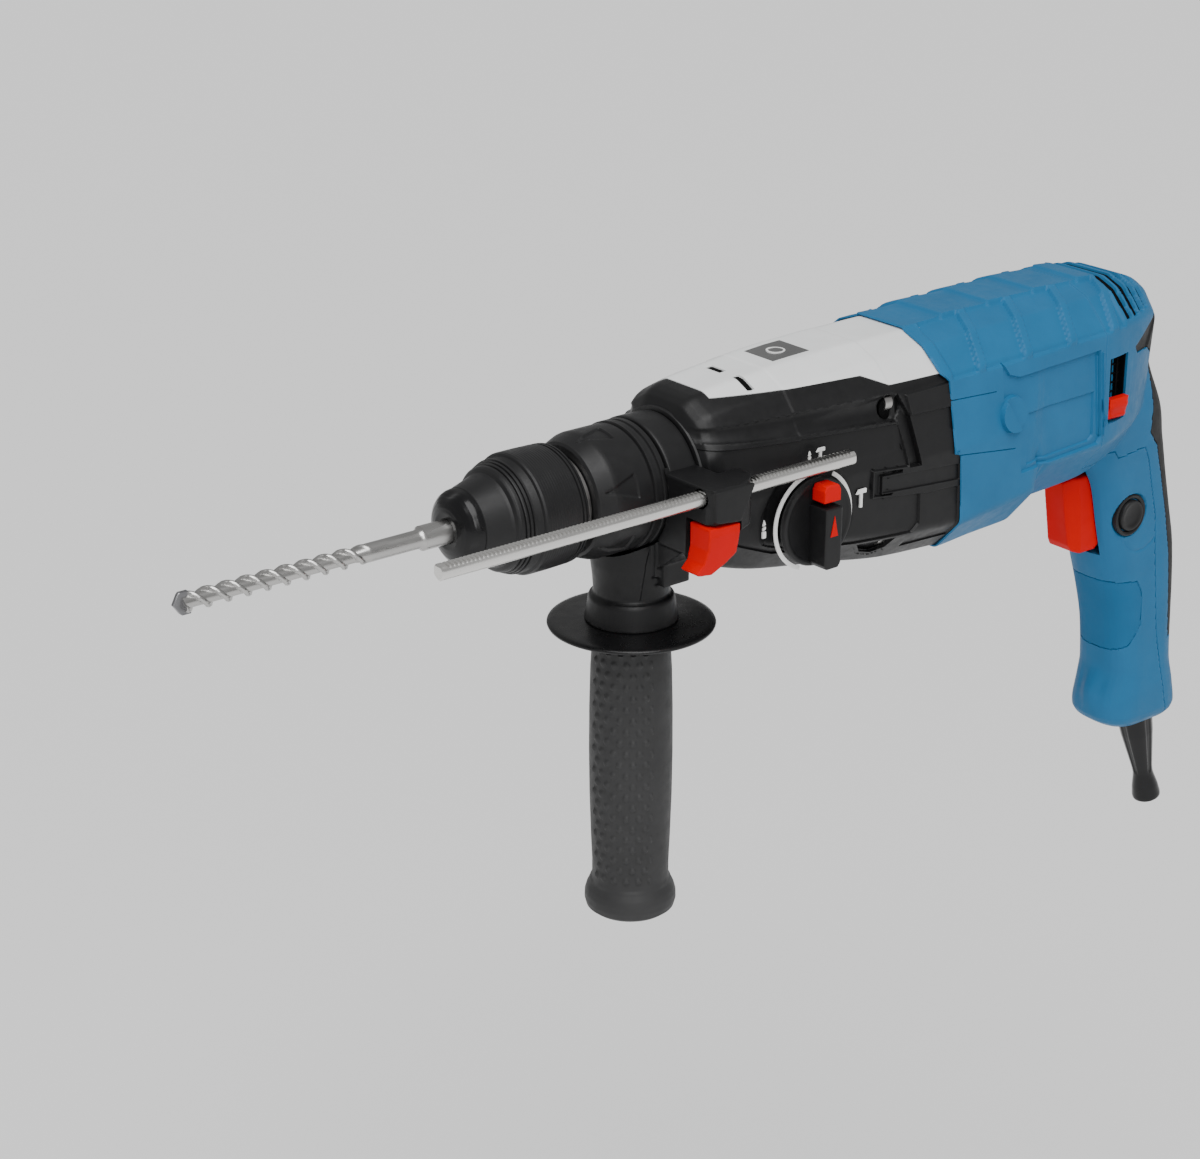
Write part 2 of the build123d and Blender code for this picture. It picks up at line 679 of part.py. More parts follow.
def handle_bracket():
    saddle = bar(BAND_FRONT, BAND_BACK, 30) & box(80, 120, -40, 40, -40, 2)
    neck = turned_upright([(0, -20), (17, -20), (17.2, -34), (15.6, -46), (18, -49), (19.4, -58), (20, -59.5),
                           (0, -59.5)], HANDLE_X)
    block = box(89, 106, -52, -28, -24, 11.3) + box(105, 116, -54, -37, -9, 11.3)
    web = loft([Plane(origin=(97, 0, -8)) * Pos(0, -36) * Rectangle(18, 30),
                Plane(origin=(HANDLE_X, 0, -40)) * Rectangle(22, 22)], ruled=True)
    neck_room = bar(60, BAND_FRONT, 27.5) + bar(BAND_FRONT - 1, BAND_BACK + 1, BAND_R)
    body = saddle + neck + block + web
    body -= neck_room
    body -= bar(BAND_BACK + GAP, 130, 37)
    body -= bar(60, 140, ROD_R + 0.35, ROD_Y, ROD_Z)
    body -= Pos(HANDLE_X, 0, -45) * Cylinder(4.3, 40)
    body -= box(BAND_FRONT + 1, BAND_BACK - 1, -6, 6, -40, -20)
    body -= side_block(shrink(BUTTON_OUTLINE, -0.3), -60, -39.2)
    return body


def guard_disc():
    profile = [(0, -59.5), (20, -59.5), (GUARD_R - 1, -60), (GUARD_R, -61), (GUARD_R - 0.5, GUARD_Z), (0, GUARD_Z)]
    return turned_upright(profile, HANDLE_X) - Pos(HANDLE_X, 0, -60) * Cylinder(4.3, 20)


def clamp_bolt():
    return turned_upright([(0, -40), (4, -40), (4, -92), (0, -92)], HANDLE_X)


def side_grip():
    grip = turned_upright([(0, -62.8), (15.5, -62.8), (16.6, -66), (17.6, -80), (18.1, -100), (18.2, -130),
                           (17.4, -160), (17.0, -176), (17.8, -182), (19.6, -186), (19.8, -189),
                           (19, -192.5), (16, KNOB_Z), (0, KNOB_Z)], HANDLE_X)
    return grip - Pos(HANDLE_X, 0, -78) * Cylinder(4 + GAP, 32)


def depth_rod():
    rod = bar(ROD_FRONT, ROD_BACK, ROD_R, ROD_Y, ROD_Z)
    rod -= box(ROD_FRONT - 1, ROD_BACK + 1, ROD_Y - 5, ROD_Y + 5, ROD_Z + 2.9, ROD_Z + 6)
    return rod


def depth_button():
    return side_block(BUTTON_OUTLINE, -54, -42)


# ---- write the nodes ----
def main():
    save("gear_housing", gear_housing())
    save("top_cover", top_cover())
    save("gear_carrier", gear_carrier())
    save("gear_flange", gear_flange())
    save("housing_screws", housing_screws())
    save("spindle_bearing", ball_bearing(95, 106, 19, TUBE_R + RUN))
    save("countershaft_bearings", Compound([
        ball_bearing(119, 126, 7.5, 5, COUNTER_Z),
        ball_bearing(FLANGE_FRONT, FLANGE_BACK, 7.5, 5, COUNTER_Z)]))
    save("armature_bearings", Compound([
        ball_bearing(217.5, FLANGE_BACK, 10.5, 4 + RUN, MOTOR_Z),
        ball_bearing(343, 350, 10.5, 4 + RUN, MOTOR_Z)]))

    save("tool_holder", tool_holder())
    save("locking_balls", locking_balls())
    save("nose_cap", nose_cap())
    save("chuck_body", chuck_body())
    save("hammer_tube", hammer_tube())
    save("spindle_gear", gear(146, 156, SPINDLE_TEETH, SPINDLE_MODULE, TUBE_R, 0, -90 + 180 / SPINDLE_TEETH))
    save("locking_sleeve", locking_sleeve())
    save("sleeve_spring", spring(25.2, 48.4, 16, 1.6, 5))
    save("change_ring", change_ring())
    save("drill_bit", drill_bit())
    save("carbide_tip", carbide_tip())

    save("impact_bolt", impact_bolt())
    save("striker", striker())
    save("piston", piston())
    save("piston_pin", piston_pin())
    save("countershaft", countershaft())
    save("countershaft_gear", gear(205, 213, LARGE_TEETH, MOTOR_MODULE, 5 - RUN, COUNTER_Z,
                                   90 + 180 / LARGE_TEETH))
    save("wobble_ring", wobble_ring())

    save("armature_shaft", armature_shaft())
    save("armature_core", armature_core())
    save("armature_windings", armature_windings())
    save("commutator", commutator())
    save("fan", fan())
    save("stator_core", stator_core())
    save("field_coils", field_coils())
    save("brush_plate", brush_plate())
    save("carbon_brushes", carbon_brushes())
    save("direction_lever", direction_lever())
    save("rear_bearing_bracket", rear_bearing_bracket())

    outer = motor_hull()
    inner = motor_hull(WALL)
    rear, rubber, insert = regions()
    save("motor_housing", motor_housing(outer, inner, rear, insert))
    save("rear_handle_shell", rear_handle_shell(outer, inner, rear, rubber))
    save("rubber_back", rubber_back(outer, inner, rubber))
    save("grip_insert", grip_insert(outer, insert))
    save("vent_grille", vent_grille())
    save("switch_module", switch_module())
    save("lock_bezel", lock_bezel())
    save("lock_button", lock_button())
    save("trigger", trigger())
    save("trigger_spring", trigger_spring())
    save("handle_screws", handle_screws())
    save("cord_clamp", cord_clamp())
    save("cord_boot", cord_boot())

    save("dial_ring", dial_ring())
    save("mode_dial", mode_dial())
    save("dial_button", dial_button())

    save("clamp_band", clamp_band())
    save("handle_bracket", handle_bracket())
    save("guard_disc", guard_disc())
    save("clamp_bolt", clamp_bolt())
    save("side_grip", side_grip())
    save("depth_rod", depth_rod())
    save("depth_button", depth_button())


main()
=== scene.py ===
import json
import math
from contextlib import contextmanager

import bmesh
import bpy
import numpy as np
from mathutils import Matrix, Vector


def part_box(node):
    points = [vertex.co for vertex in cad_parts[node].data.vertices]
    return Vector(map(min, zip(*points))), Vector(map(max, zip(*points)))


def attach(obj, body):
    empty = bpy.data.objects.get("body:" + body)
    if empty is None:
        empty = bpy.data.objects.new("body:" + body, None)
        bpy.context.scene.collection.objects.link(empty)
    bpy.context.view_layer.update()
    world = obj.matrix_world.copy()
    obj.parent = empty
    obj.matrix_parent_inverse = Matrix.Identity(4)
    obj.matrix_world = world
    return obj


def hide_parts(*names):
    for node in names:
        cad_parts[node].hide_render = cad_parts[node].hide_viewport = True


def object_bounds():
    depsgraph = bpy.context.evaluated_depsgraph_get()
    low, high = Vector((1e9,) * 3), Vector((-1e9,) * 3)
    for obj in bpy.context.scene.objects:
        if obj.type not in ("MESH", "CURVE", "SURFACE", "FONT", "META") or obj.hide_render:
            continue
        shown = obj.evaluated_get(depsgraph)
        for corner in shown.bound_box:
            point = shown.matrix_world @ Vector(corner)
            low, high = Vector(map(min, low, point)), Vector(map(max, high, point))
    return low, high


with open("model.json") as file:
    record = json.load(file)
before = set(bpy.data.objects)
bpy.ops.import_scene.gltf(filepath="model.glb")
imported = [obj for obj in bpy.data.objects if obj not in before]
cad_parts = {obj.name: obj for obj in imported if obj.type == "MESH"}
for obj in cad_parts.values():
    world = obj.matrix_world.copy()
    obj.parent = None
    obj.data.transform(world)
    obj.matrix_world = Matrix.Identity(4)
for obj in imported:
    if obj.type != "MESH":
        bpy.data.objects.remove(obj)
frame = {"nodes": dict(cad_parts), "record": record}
cad_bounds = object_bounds()

# Tool coordinates, in millimetres: X runs back from the chuck's nose along the spindle axis, Z is
# up and the dial is on the -Y side. ORIGIN is the nose's centre in the frame, in metres.
MM = 0.001
nose_low, nose_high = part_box("nose_cap")
ORIGIN = np.array([nose_low[0], 0.0, (nose_low[2] + nose_high[2]) / 2])


def tool_box(node):
    """Lowest and highest corners of a CAD node in tool millimetres."""
    low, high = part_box(node)
    return (np.array(low) - ORIGIN) / MM, (np.array(high) - ORIGIN) / MM


# ---- materials
NOISE_LOW, NOISE_HIGH = 0.3, 0.7  # nearly all of a noise texture's values lie between these
BROAD_NOISE, SMUDGE_NOISE = 55.0, 210.0  # texture scales, per metre
# pointiness range over which convex edges are lightened, a painted highlight
FLAT_FACE, LIT_EDGE = 0.51, 0.62  # pointiness


def node_of(tree, kind, **inputs):
    node = tree.nodes.new(kind)
    for key, value in inputs.items():
        node.inputs[key.replace("_", " ")].default_value = value
    return node


def finish(name, colour, rough, metallic=0.0, grain=0.4, bump=0.04, tint=0.12, edge=0.0,
           stretch=1.0, specular=0.5, rough_spread=0.08):
    """Moulded, cast or machined surface. grain is in millimetres, bump is its height in millimetres,
    tint is how far the colour varies, edge is how much convex edges lighten, a painted highlight."""
    mat = bpy.data.materials.new(name)
    mat.use_nodes = True
    tree = mat.node_tree
    link = tree.links.new
    shader = tree.nodes["Principled BSDF"]
    shader.inputs["Metallic"].default_value = metallic
    shader.inputs["Specular IOR Level"].default_value = specular
    place = tree.nodes.new("ShaderNodeTexCoord")
    mapping = node_of(tree, "ShaderNodeMapping", Scale=(1.0 / stretch, 1.0, 1.0))
    link(place.outputs["Object"], mapping.inputs["Vector"])
    fine = node_of(tree, "ShaderNodeTexNoise", Scale=1 / (grain * MM), Detail=3.0, Roughness=0.6)
    broad = node_of(tree, "ShaderNodeTexNoise", Scale=BROAD_NOISE, Detail=4.0, Roughness=0.55)
    smudge = node_of(tree, "ShaderNodeTexNoise", Scale=SMUDGE_NOISE, Detail=5.0, Roughness=0.65)
    for noise in (fine, broad, smudge):
        link(mapping.outputs["Vector"], noise.inputs["Vector"])
    ramp = tree.nodes.new("ShaderNodeValToRGB")
    dark, light = ramp.color_ramp.elements
    dark.position, light.position = NOISE_LOW, NOISE_HIGH
    dark.color = [c * (1 - tint) for c in colour] + [1]
    light.color = [min(1, c * (1 + tint)) for c in colour] + [1]
    link(broad.outputs["Fac"], ramp.inputs["Fac"])
    surface = ramp.outputs["Color"]
    # painted highlight: convex edges, found by pointiness, are lightened towards a brighter copy of the
    # colour
    if edge:
        geometry = tree.nodes.new("ShaderNodeNewGeometry")
        edge_highlight = node_of(tree, "ShaderNodeMapRange", From_Min=FLAT_FACE, From_Max=LIT_EDGE, To_Max=edge)
        link(geometry.outputs["Pointiness"], edge_highlight.inputs["Value"])
        mix = tree.nodes.new("ShaderNodeMix")
        mix.data_type = "RGBA"
        mix.inputs["B"].default_value = [min(1, c * 1.4 + 0.035) for c in colour] + [1]
        link(edge_highlight.outputs["Result"], mix.inputs["Factor"])
        link(surface, mix.inputs["A"])
        surface = mix.outputs["Result"]
    link(surface, shader.inputs["Base Color"])
    polish = node_of(tree, "ShaderNodeMapRange", From_Min=NOISE_LOW, From_Max=NOISE_HIGH,
                     To_Min=max(0.03, rough - rough_spread), To_Max=rough + rough_spread)
    link(smudge.outputs["Fac"], polish.inputs["Value"])
    link(polish.outputs["Result"], shader.inputs["Roughness"])
    relief = node_of(tree, "ShaderNodeBump", Strength=0.6, Distance=bump * MM)
    link(fine.outputs["Fac"], relief.inputs["Height"])
    link(relief.outputs["Normal"], shader.inputs["Normal"])
    return mat


# the edge entries set how strongly convex edges are lightened as a painted highlight
FINISH_TABLE = {
    "black_plastic": ((0.0065, 0.0065, 0.007), 0.42, dict(edge=0.3, grain=0.35, bump=0.05, specular=0.3)),
    "grey_cover": ((0.80, 0.81, 0.81), 0.42, dict(tint=0.03, grain=0.5, bump=0.03, specular=0.35)),
    "blue_plastic": ((0.018, 0.132, 0.280), 0.45, dict(tint=0.06, bump=0.045, edge=0.15, specular=0.14)),
    "blue_soft": ((0.014, 0.120, 0.258), 0.6, dict(tint=0.05, grain=0.3, bump=0.05, specular=0.12)),
    "black_rubber": ((0.012, 0.012, 0.0125), 0.6, dict(grain=0.3, bump=0.06, edge=0.15, specular=0.3)),
    "red_plastic": ((0.60, 0.001, 0.002), 0.4, dict(tint=0.05, bump=0.02, specular=0.07)),
    "chuck_black": ((0.011, 0.011, 0.0115), 0.4, dict(grain=0.3, bump=0.07, edge=0.25, specular=0.28)),
    "bright_steel": ((0.74, 0.73, 0.71), 0.27,
                     dict(metallic=1.0, stretch=12.0, tint=0.08, bump=0.01, rough_spread=0.1)),
    "gear_steel": ((0.42, 0.41, 0.4), 0.35, dict(metallic=1.0, stretch=4.0, bump=0.01)),
    "die_cast": ((0.55, 0.56, 0.57), 0.5, dict(metallic=1.0, grain=0.8, bump=0.05)),
    "laminations": ((0.3, 0.3, 0.31), 0.45, dict(metallic=1.0, stretch=0.1, bump=0.03)),
    "copper": ((0.72, 0.32, 0.16), 0.32, dict(metallic=1.0, grain=0.6, bump=0.08)),
    "carbon": ((0.03, 0.03, 0.03), 0.6, {}),
    "carbide": ((0.3, 0.3, 0.31), 0.3, dict(metallic=1.0, bump=0.03)),
    "print_white": ((0.85, 0.85, 0.84), 0.5, dict(tint=0.03, bump=0.01)),
    "fan_plastic": ((0.09, 0.09, 0.09), 0.5, {}),
    # looks of single pieces, which differ from the rest of their material
    "grip_rubber": ((0.026, 0.026, 0.0265), 0.55, dict(grain=0.3, bump=0.06, edge=0.2, specular=0.35)),
    "gloss_black_rubber": ((0.005, 0.005, 0.0055), 0.2, dict(grain=0.8, bump=0.01, tint=0.1, specular=0.3)),
    "satin_black": ((0.007, 0.007, 0.0075), 0.3, dict(bump=0.03, specular=0.35)),
    # edge=0.5 here paints highlights on the lands' edges, so the flutes look darker beside them as painted
    # shade
    "bit_steel": ((0.45, 0.445, 0.435), 0.3,
                  dict(metallic=1.0, stretch=8.0, tint=0.15, bump=0.015, edge=0.5, rough_spread=0.1)),
    # painted shade: near-black colour for dark pieces set inside holes, slots and the side window, where
    # shade falls
    "painted_shade_black": ((0.002, 0.002, 0.002), 0.8, dict(bump=0.02, specular=0.1)),
}
FINISHES = {name: finish(name, colour, rough, **more)
            for name, (colour, rough, more) in FINISH_TABLE.items()}

for part in frame["record"]["subparts"]:
    cad = frame["nodes"][part["node"]]
    cad.data.materials.clear()
    cad.data.materials.append(FINISHES[part["material_slot"]])


# ---- mesh helpers
# A shape is a pair of tool-millimetre vertices and faces.
ACROSS = (1, 0, 2)  # axis order that lays a shape about X along Y
UPRIGHT = (0, 2, 1)  # axis order that lays a side view outline flat


def mesh_object(name, shape):
    verts, faces = shape
    mesh = bpy.data.meshes.new(name)
    mesh.from_pydata([tuple(ORIGIN + MM * np.array(v)) for v in verts], [], [tuple(f) for f in faces])
    return bpy.data.objects.new(name, mesh)


@contextmanager
def editing(mesh):
    """A bmesh of mesh, which is written back at the end."""
    bm = bmesh.new()
    bm.from_mesh(mesh)
    yield bm
    bm.to_mesh(mesh)
    bm.free()


def closed_object(name, shape):
    """Object from a closed shape, with its faces turned outwards."""
    obj = mesh_object(name, shape)
    with editing(obj.data) as bm:
        bmesh.ops.recalc_face_normals(bm, faces=bm.faces)
    return obj


def link_once(obj):
    if obj.name not in bpy.context.scene.collection.all_objects:
        bpy.context.scene.collection.objects.link(obj)


def dress(obj, slot, body, nodes=(), look=None, smooth=40.0):
    """Gives obj its material, its sharp edges above smooth degrees and its place on body, where it
    stands for the CAD nodes."""
    link_once(obj)
    obj.data.materials.clear()
    obj.data.materials.append(FINISHES[look or slot])
    with editing(obj.data) as bm:
        bmesh.ops.recalc_face_normals(bm, faces=bm.faces)
        for face in bm.faces:
            face.smooth = True
        limit = math.radians(smooth)
        for edge in bm.edges:
            if len(edge.link_faces) == 2 and edge.calc_face_angle(0) > limit:
                edge.smooth = False
    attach(obj, body)
    if nodes:
        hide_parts(*nodes)


def piece(name, shape, slot, body, nodes=(), look=None, smooth=40.0):
    dress(mesh_object(name, shape), slot, body, nodes, look, smooth)


def bake(obj, *modifiers):
    """Adds modifiers as (type, settings), applies them and leaves the object with the result."""
    for kind, settings in modifiers:
        mod = obj.modifiers.new(kind.lower(), kind)
        for key, value in settings.items():
            setattr(mod, key, value)
    link_once(obj)
    graph = bpy.context.evaluated_depsgraph_get()
    mesh = bpy.data.meshes.new_from_object(obj.evaluated_get(graph))
    obj.modifiers.clear()
    obj.data = mesh
    return obj


def placed(shape, order, shift=(0, 0, 0)):
    """Shape with its axes taken in another order and then moved."""
    verts, faces = shape
    return np.asarray(verts, float)[:, order] + np.array(shift, float), faces


def joined(shapes):
    verts, faces = [], []
    for part_verts, part_faces in shapes:
        faces += [tuple(len(verts) + i for i in f) for f in part_faces]
        verts += list(part_verts)
    return verts, faces


def tube_faces(rings, count, cap=True):
    """Quads between rings of count points each, and flat ends."""
    faces = []
    for i in range(rings - 1):
        for j in range(count):
            k = (j + 1) % count
            faces.append((i * count + j, i * count + k, (i + 1) * count + k, (i + 1) * count + j))
    if cap:
        faces.append(tuple(range(count))[::-1])
        faces.append(tuple(range((rings - 1) * count, rings * count)))
    return faces


def revolve(profile, steps=96, axis="x", centre=(0, 0, 0), bulge=None, cap=True):
    """Vertices and faces of a turned shape. profile is (along, radius); bulge(along, angle) adds to
    the radius. Angle 0 is +Y for an X axis and +X for a Z axis."""
    angles = np.linspace(0, 2 * math.pi, steps, endpoint=False)
    verts = []
    for along, radius in profile:
        r = radius + (bulge(along, angles) if bulge else 0)
        c, s = r * np.cos(angles), r * np.sin(angles)
        flat = np.full(steps, float(along))
        ring = np.stack([flat, c, s] if axis == "x" else [c, s, flat], axis=1)
        verts.append(ring + np.array(centre))
    return np.concatenate(verts), tube_faces(len(profile), steps, cap)


def fine(profile, step=1.0):
    """Profile with points added so that no stretch is longer than step."""
    out = [profile[0]]
    for (a, r), (b, q) in zip(profile, profile[1:]):
        pieces = max(1, int(math.ceil(math.hypot(b - a, q - r) / step)))
        out += [(a + (b - a) * i / pieces, r + (q - r) * i / pieces) for i in range(1, pieces + 1)]
    return out


def soften(profile, radius=0.4):
    """Profile with each corner cut back, so that edges catch the light."""
    out = [profile[0]]
    for p, q, r in zip(profile, profile[1:], profile[2:]):
        for other in (p, r):
            gap = math.hypot(other[0] - q[0], other[1] - q[1])
            t = min(0.4, radius / max(gap, 1e-6))
            out.append((q[0] + (other[0] - q[0]) * t, q[1] + (other[1] - q[1]) * t))
    return out + [profile[-1]]


def unit(start, end):
    step = np.array(end, float) - np.array(start, float)
    return step / np.linalg.norm(step)


def rounded_outline(corners, radius, arc=5):
    """Closed (y, z) outline with each corner rounded by an arc."""
    points = []
    count = len(corners)
    for i in range(count):
        before, here, after = (np.array(corners[j % count], float) for j in (i - 1, i, i + 1))
        u, w = unit(here, before), unit(here, after)
        half = math.acos(max(-1.0, min(1.0, float(u @ w)))) / 2
        room = 0.45 * min(np.linalg.norm(before - here), np.linalg.norm(after - here))
        reach = min(radius / math.tan(half), room)
        start, end = here + u * reach, here + w * reach
        for t in np.linspace(0, 1, arc):
            points.append((1 - t) ** 2 * start + 2 * t * (1 - t) * here + t * t * end)
    return np.array(points)


def smooth_curve(xs, table, samples):
    """Columns of table over xs, joined by monotone cubic curves that never overshoot their stations."""
    xs, table, samples = (np.asarray(v, dtype=float) for v in (xs, table, samples))
    step = np.diff(xs)[:, None]
    slope = np.diff(table, axis=0) / step
    tangent = np.vstack([slope[:1], np.zeros((len(xs) - 2, table.shape[1])), slope[-1:]])
    before, after = slope[:-1], slope[1:]
    same = before * after > 0
    with np.errstate(divide="ignore", invalid="ignore"):
        tangent[1:-1] = np.where(same, 2 * before * after / np.where(same, before + after, 1.0), 0.0)
    i = np.clip(np.searchsorted(xs, samples, side="right") - 1, 0, len(xs) - 2)
    t = ((samples - xs[i]) / (xs[i + 1] - xs[i]))[:, None]
    h = step[i]
    return ((2 * t ** 3 - 3 * t ** 2 + 1) * table[i] + (t ** 3 - 2 * t ** 2 + t) * h * tangent[i]
            + (-2 * t ** 3 + 3 * t ** 2) * table[i + 1] + (t ** 3 - t ** 2) * h * tangent[i + 1])


def barrel(stations, step=3.0):
    """Closed body along X from (x, right-side corners, corner radius)."""
    xs = [s[0] for s in stations]
    table = [np.array(s[1], float).ravel().tolist() + [s[2]] for s in stations]
    samples = np.linspace(xs[0], xs[-1], int((xs[-1] - xs[0]) / step) + 1)
    verts = []
    for x, row in zip(samples, smooth_curve(xs, table, samples)):
        side = row[:-1].reshape(-1, 2)
        outline = np.concatenate([side, side[::-1] * [-1, 1]])
        ring = rounded_outline(outline, row[-1])
        verts.append(np.column_stack([np.full(len(ring), x), ring]))
    return np.concatenate(verts), tube_faces(len(samples), len(verts[0]))


def upright(levels, step=3.0):
    """Closed body along Z from (z, front x, back x, half width, corner radius)."""
    levels = sorted(levels)
    zs = [s[0] for s in levels]
    samples = np.linspace(zs[0], zs[-1], int((zs[-1] - zs[0]) / step) + 1)
    verts = []
    for z, (front, back, half, radius) in zip(samples, smooth_curve(zs, [s[1:] for s in levels], samples)):
        ring = rounded_outline([(front, -half), (back, -half), (back, half), (front, half)], radius * 1.4, 8)
        verts.append(np.column_stack([ring, np.full(len(ring), z)]))
    return np.concatenate(verts), tube_faces(len(samples), len(verts[0]))


def block(x0, x1, y0, y1, z0, z1):
    corners = [(x, y, z) for x in (x0, x1) for y in (y0, y1) for z in (z0, z1)]
    faces = [(0, 1, 3, 2), (4, 6, 7, 5), (0, 4, 5, 1), (2, 3, 7, 6), (0, 2, 6, 4), (1, 5, 7, 3)]
    return np.array(corners, float), faces


def prism(outline, y0, y1):
    """Side view outline of (x, z) points carried from y0 to y1."""
    n = len(outline)
    verts = [(x, y, z) for y in (y0, y1) for x, z in outline]
    return np.array(verts, float), tube_faces(2, n)


def fuse(name, parts, voxel, smoothing=4):
    """One moulded solid from closed parts: a fine remesh, then a light smoothing."""
    remesh = ("REMESH", {"mode": "VOXEL", "voxel_size": voxel * MM})
    return bake(closed_object(name, joined(parts)), remesh,
                ("SMOOTH", {"factor": 0.5, "iterations": smoothing}))


def subtract(obj, *parts):
    """Cuts closed parts out of obj."""
    for part in parts:
        cutter = closed_object("cutter", part)
        link_once(cutter)
        bake(obj, ("BOOLEAN", {"operation": "DIFFERENCE", "object": cutter, "solver": "EXACT"}))
        bpy.data.objects.remove(cutter)


def reshape(obj, field):
    """Moves the vertices: field(points, normals) gives new points, in tool millimetres."""
    mesh = obj.data
    count = len(mesh.vertices)
    points = np.empty(count * 3)
    mesh.vertices.foreach_get("co", points)
    normals = np.empty(count * 3, dtype=np.float32)
    mesh.vertex_normals.foreach_get("vector", normals)
    points = (points.reshape(-1, 3) - ORIGIN) / MM
    moved = field(points, normals.reshape(-1, 3).astype(float))
    mesh.vertices.foreach_set("co", (moved * MM + ORIGIN).ravel())
    mesh.update()
    return obj


# ---- relief fields
def ease(value, soft):
    """0 below -soft, 1 above soft, smooth between."""
    t = np.clip((value + soft) / (2 * soft), 0, 1)
    return t * t * (3 - 2 * t)


def sides_of(outline):
    return list(zip(outline, outline[1:] + outline[:1]))


def edge_distance(outline, x, z):
    """Distance to the nearest side of a closed outline."""
    return np.min([segment_distance(a, b, x, z) for a, b in sides_of(outline)], axis=0)


def inside(outline, x, z, soft=0.5):
    """1 inside a closed outline, 0 outside, with a soft edge."""
    near = edge_distance(outline, x, z)
    return ease(np.where(within(outline, x, z), near, -near), soft)


def segment_distance(a, b, x, z):
    (ax, az), (bx, bz) = a, b
    length = (bx - ax) ** 2 + (bz - az) ** 2
    t = np.clip(((x - ax) * (bx - ax) + (z - az) * (bz - az)) / max(length, 1e-9), 0, 1)
    return np.hypot(x - ax - t * (bx - ax), z - az - t * (bz - az))


def disc(cx, cz, radius, x, z, soft=0.5):
    """1 inside a circle, 0 outside, with a soft edge."""
    return ease(radius - np.hypot(x - cx, z - cz), soft)


def middles(faces, across=2):
    """X and, by across, Y or Z of the faces' centres, in tool millimetres."""
    centres = np.array([f.calc_center_median()[:] for f in faces])
    return ((centres[:, (0, across)] - ORIGIN[[0, across]]) / MM).T


CUT_POOL, CUT_REACH = 2.5, 1.3  # how near a side of the outline a face lies to be cut, mm


def cut_lines(bm, outline, across=2):
    """Adds edges where the sides of a closed outline cross the mesh, seen from the side (across 2,
    outline in x and z) or from above (across 1, outline in x and y)."""
    near = edge_distance(outline, *middles(bm.faces, across)) < CUT_POOL
    bm.faces.ensure_lookup_table()
    pool = {bm.faces[i] for i in np.nonzero(near)[0]}
    for a, b in sides_of(outline):
        pool = {f for f in pool if f.is_valid}
        if not pool:
            return
        faces = list(pool)
        close = segment_distance(a, b, *middles(faces, across)) < CUT_REACH
        faces = [f for f, keep in zip(faces, close) if keep]
        geom = faces + list({e for f in faces for e in f.edges}) + list({v for f in faces for v in f.verts})
        start = Vector(ORIGIN)
        start[0] += a[0] * MM
        start[across] += a[1] * MM
        normal = Vector((0, 0, 0))
        normal[0], normal[across] = -(b[1] - a[1]), b[0] - a[0]
        made = bmesh.ops.bisect_plane(bm, geom=geom, plane_co=start, plane_no=normal.normalized(), dist=2e-6)
        pool |= {g for g in made["geom"] if isinstance(g, bmesh.types.BMFace)}


def inset(outline, amount):
    """Closed outline with each side moved inwards."""
    turn = sum((b[0] - a[0]) * (b[1] + a[1]) for a, b in sides_of(outline))
    sign = 1 if turn > 0 else -1
    moved = []
    for before, (here, after) in zip(outline[-1:] + outline[:-1], sides_of(outline)):
        u, w = unit(before, here), unit(here, after)
        normal_u, normal_w = sign * np.array([u[1], -u[0]]), sign * np.array([w[1], -w[0]])
        middle = normal_u + normal_w
        reach = min(3 * amount, 2 * amount / max(float(middle @ middle), 0.2))
        moved.append(tuple(np.array(here) + middle * reach))
    return moved


FLANK = 8  # carving from the side leaves the strip this near the middle plane alone, mm


def carve(obj, features):
    """Presses outlines into a shell with crisp walls. Each feature is (outline, depth, wall, sides):
    depth in millimetres, negative for a raised one, wall the width of its slope, and sides -1 for the
    near side, 1 for the far side, 0 for both and "top" for an outline seen from above."""
    with editing(obj.data) as bm:
        for outline, _, wall, sides in features:
            across = 1 if sides == "top" else 2
            cut_lines(bm, outline, across)
            cut_lines(bm, inset(outline, wall), across)

    def press(points, normals):
        x, y, z = points.T
        moved = points.copy()
        for outline, depth, wall, sides in features:
            if sides == "top":
                mask = ramp_inside(outline, x, y, wall) * (z > 0)
                moved[:, 2] -= depth * mask
            else:
                mask = ramp_inside(outline, x, z, wall) * (np.abs(y) > FLANK)
                if sides:
                    mask = mask * (y * sides > 0)
                moved[:, 1] -= depth * mask * np.sign(y)
        return moved
    reshape(obj, press)


def ramp_inside(outline, x, z, wall):
    """0 outside a closed outline and on it, rising to 1 over the width of its wall."""
    return np.clip(edge_distance(outline, x, z) / wall, 0, 1) * within(outline, x, z)


def within(outline, x, z):
    """Whether points lie inside a closed side-view outline."""
    odd = np.zeros(x.shape, bool)
    for (ax, az), (bx, bz) in sides_of(outline):
        if az == bz:
            continue
        odd ^= ((az > z) != (bz > z)) & (x < (bx - ax) * (z - az) / (bz - az) + ax)
    return odd


def split(obj, zones):
    """Cuts a shell along the outlines of zones, and returns one object for each zone and one for
    the rest. The first zone that a face lies in takes it."""
    bm = bmesh.new()
    bm.from_mesh(obj.data)
    for outline in zones.values():
        cut_lines(bm, outline)
    x, z = middles(bm.faces)
    owner = np.full(len(x), "rest", dtype=object)
    for name, outline in reversed(list(zones.items())):
        owner[within(outline, x, z)] = name
    out = {}
    for name in [*zones, "rest"]:
        copy = bm.copy()
        copy.faces.ensure_lookup_table()
        unwanted = [copy.faces[i] for i in np.nonzero(owner != name)[0]]
        bmesh.ops.delete(copy, geom=unwanted, context="FACES")
        mesh = bpy.data.meshes.new(name)
        copy.to_mesh(mesh)
        copy.free()
        out[name] = bpy.data.objects.new(name, mesh)
    bm.free()
    bpy.data.objects.remove(obj)
    return out


def thicken(obj, thickness):
    return bake(obj, ("SOLIDIFY", {"thickness": thickness * MM, "offset": -1.0, "use_even_offset": False}))


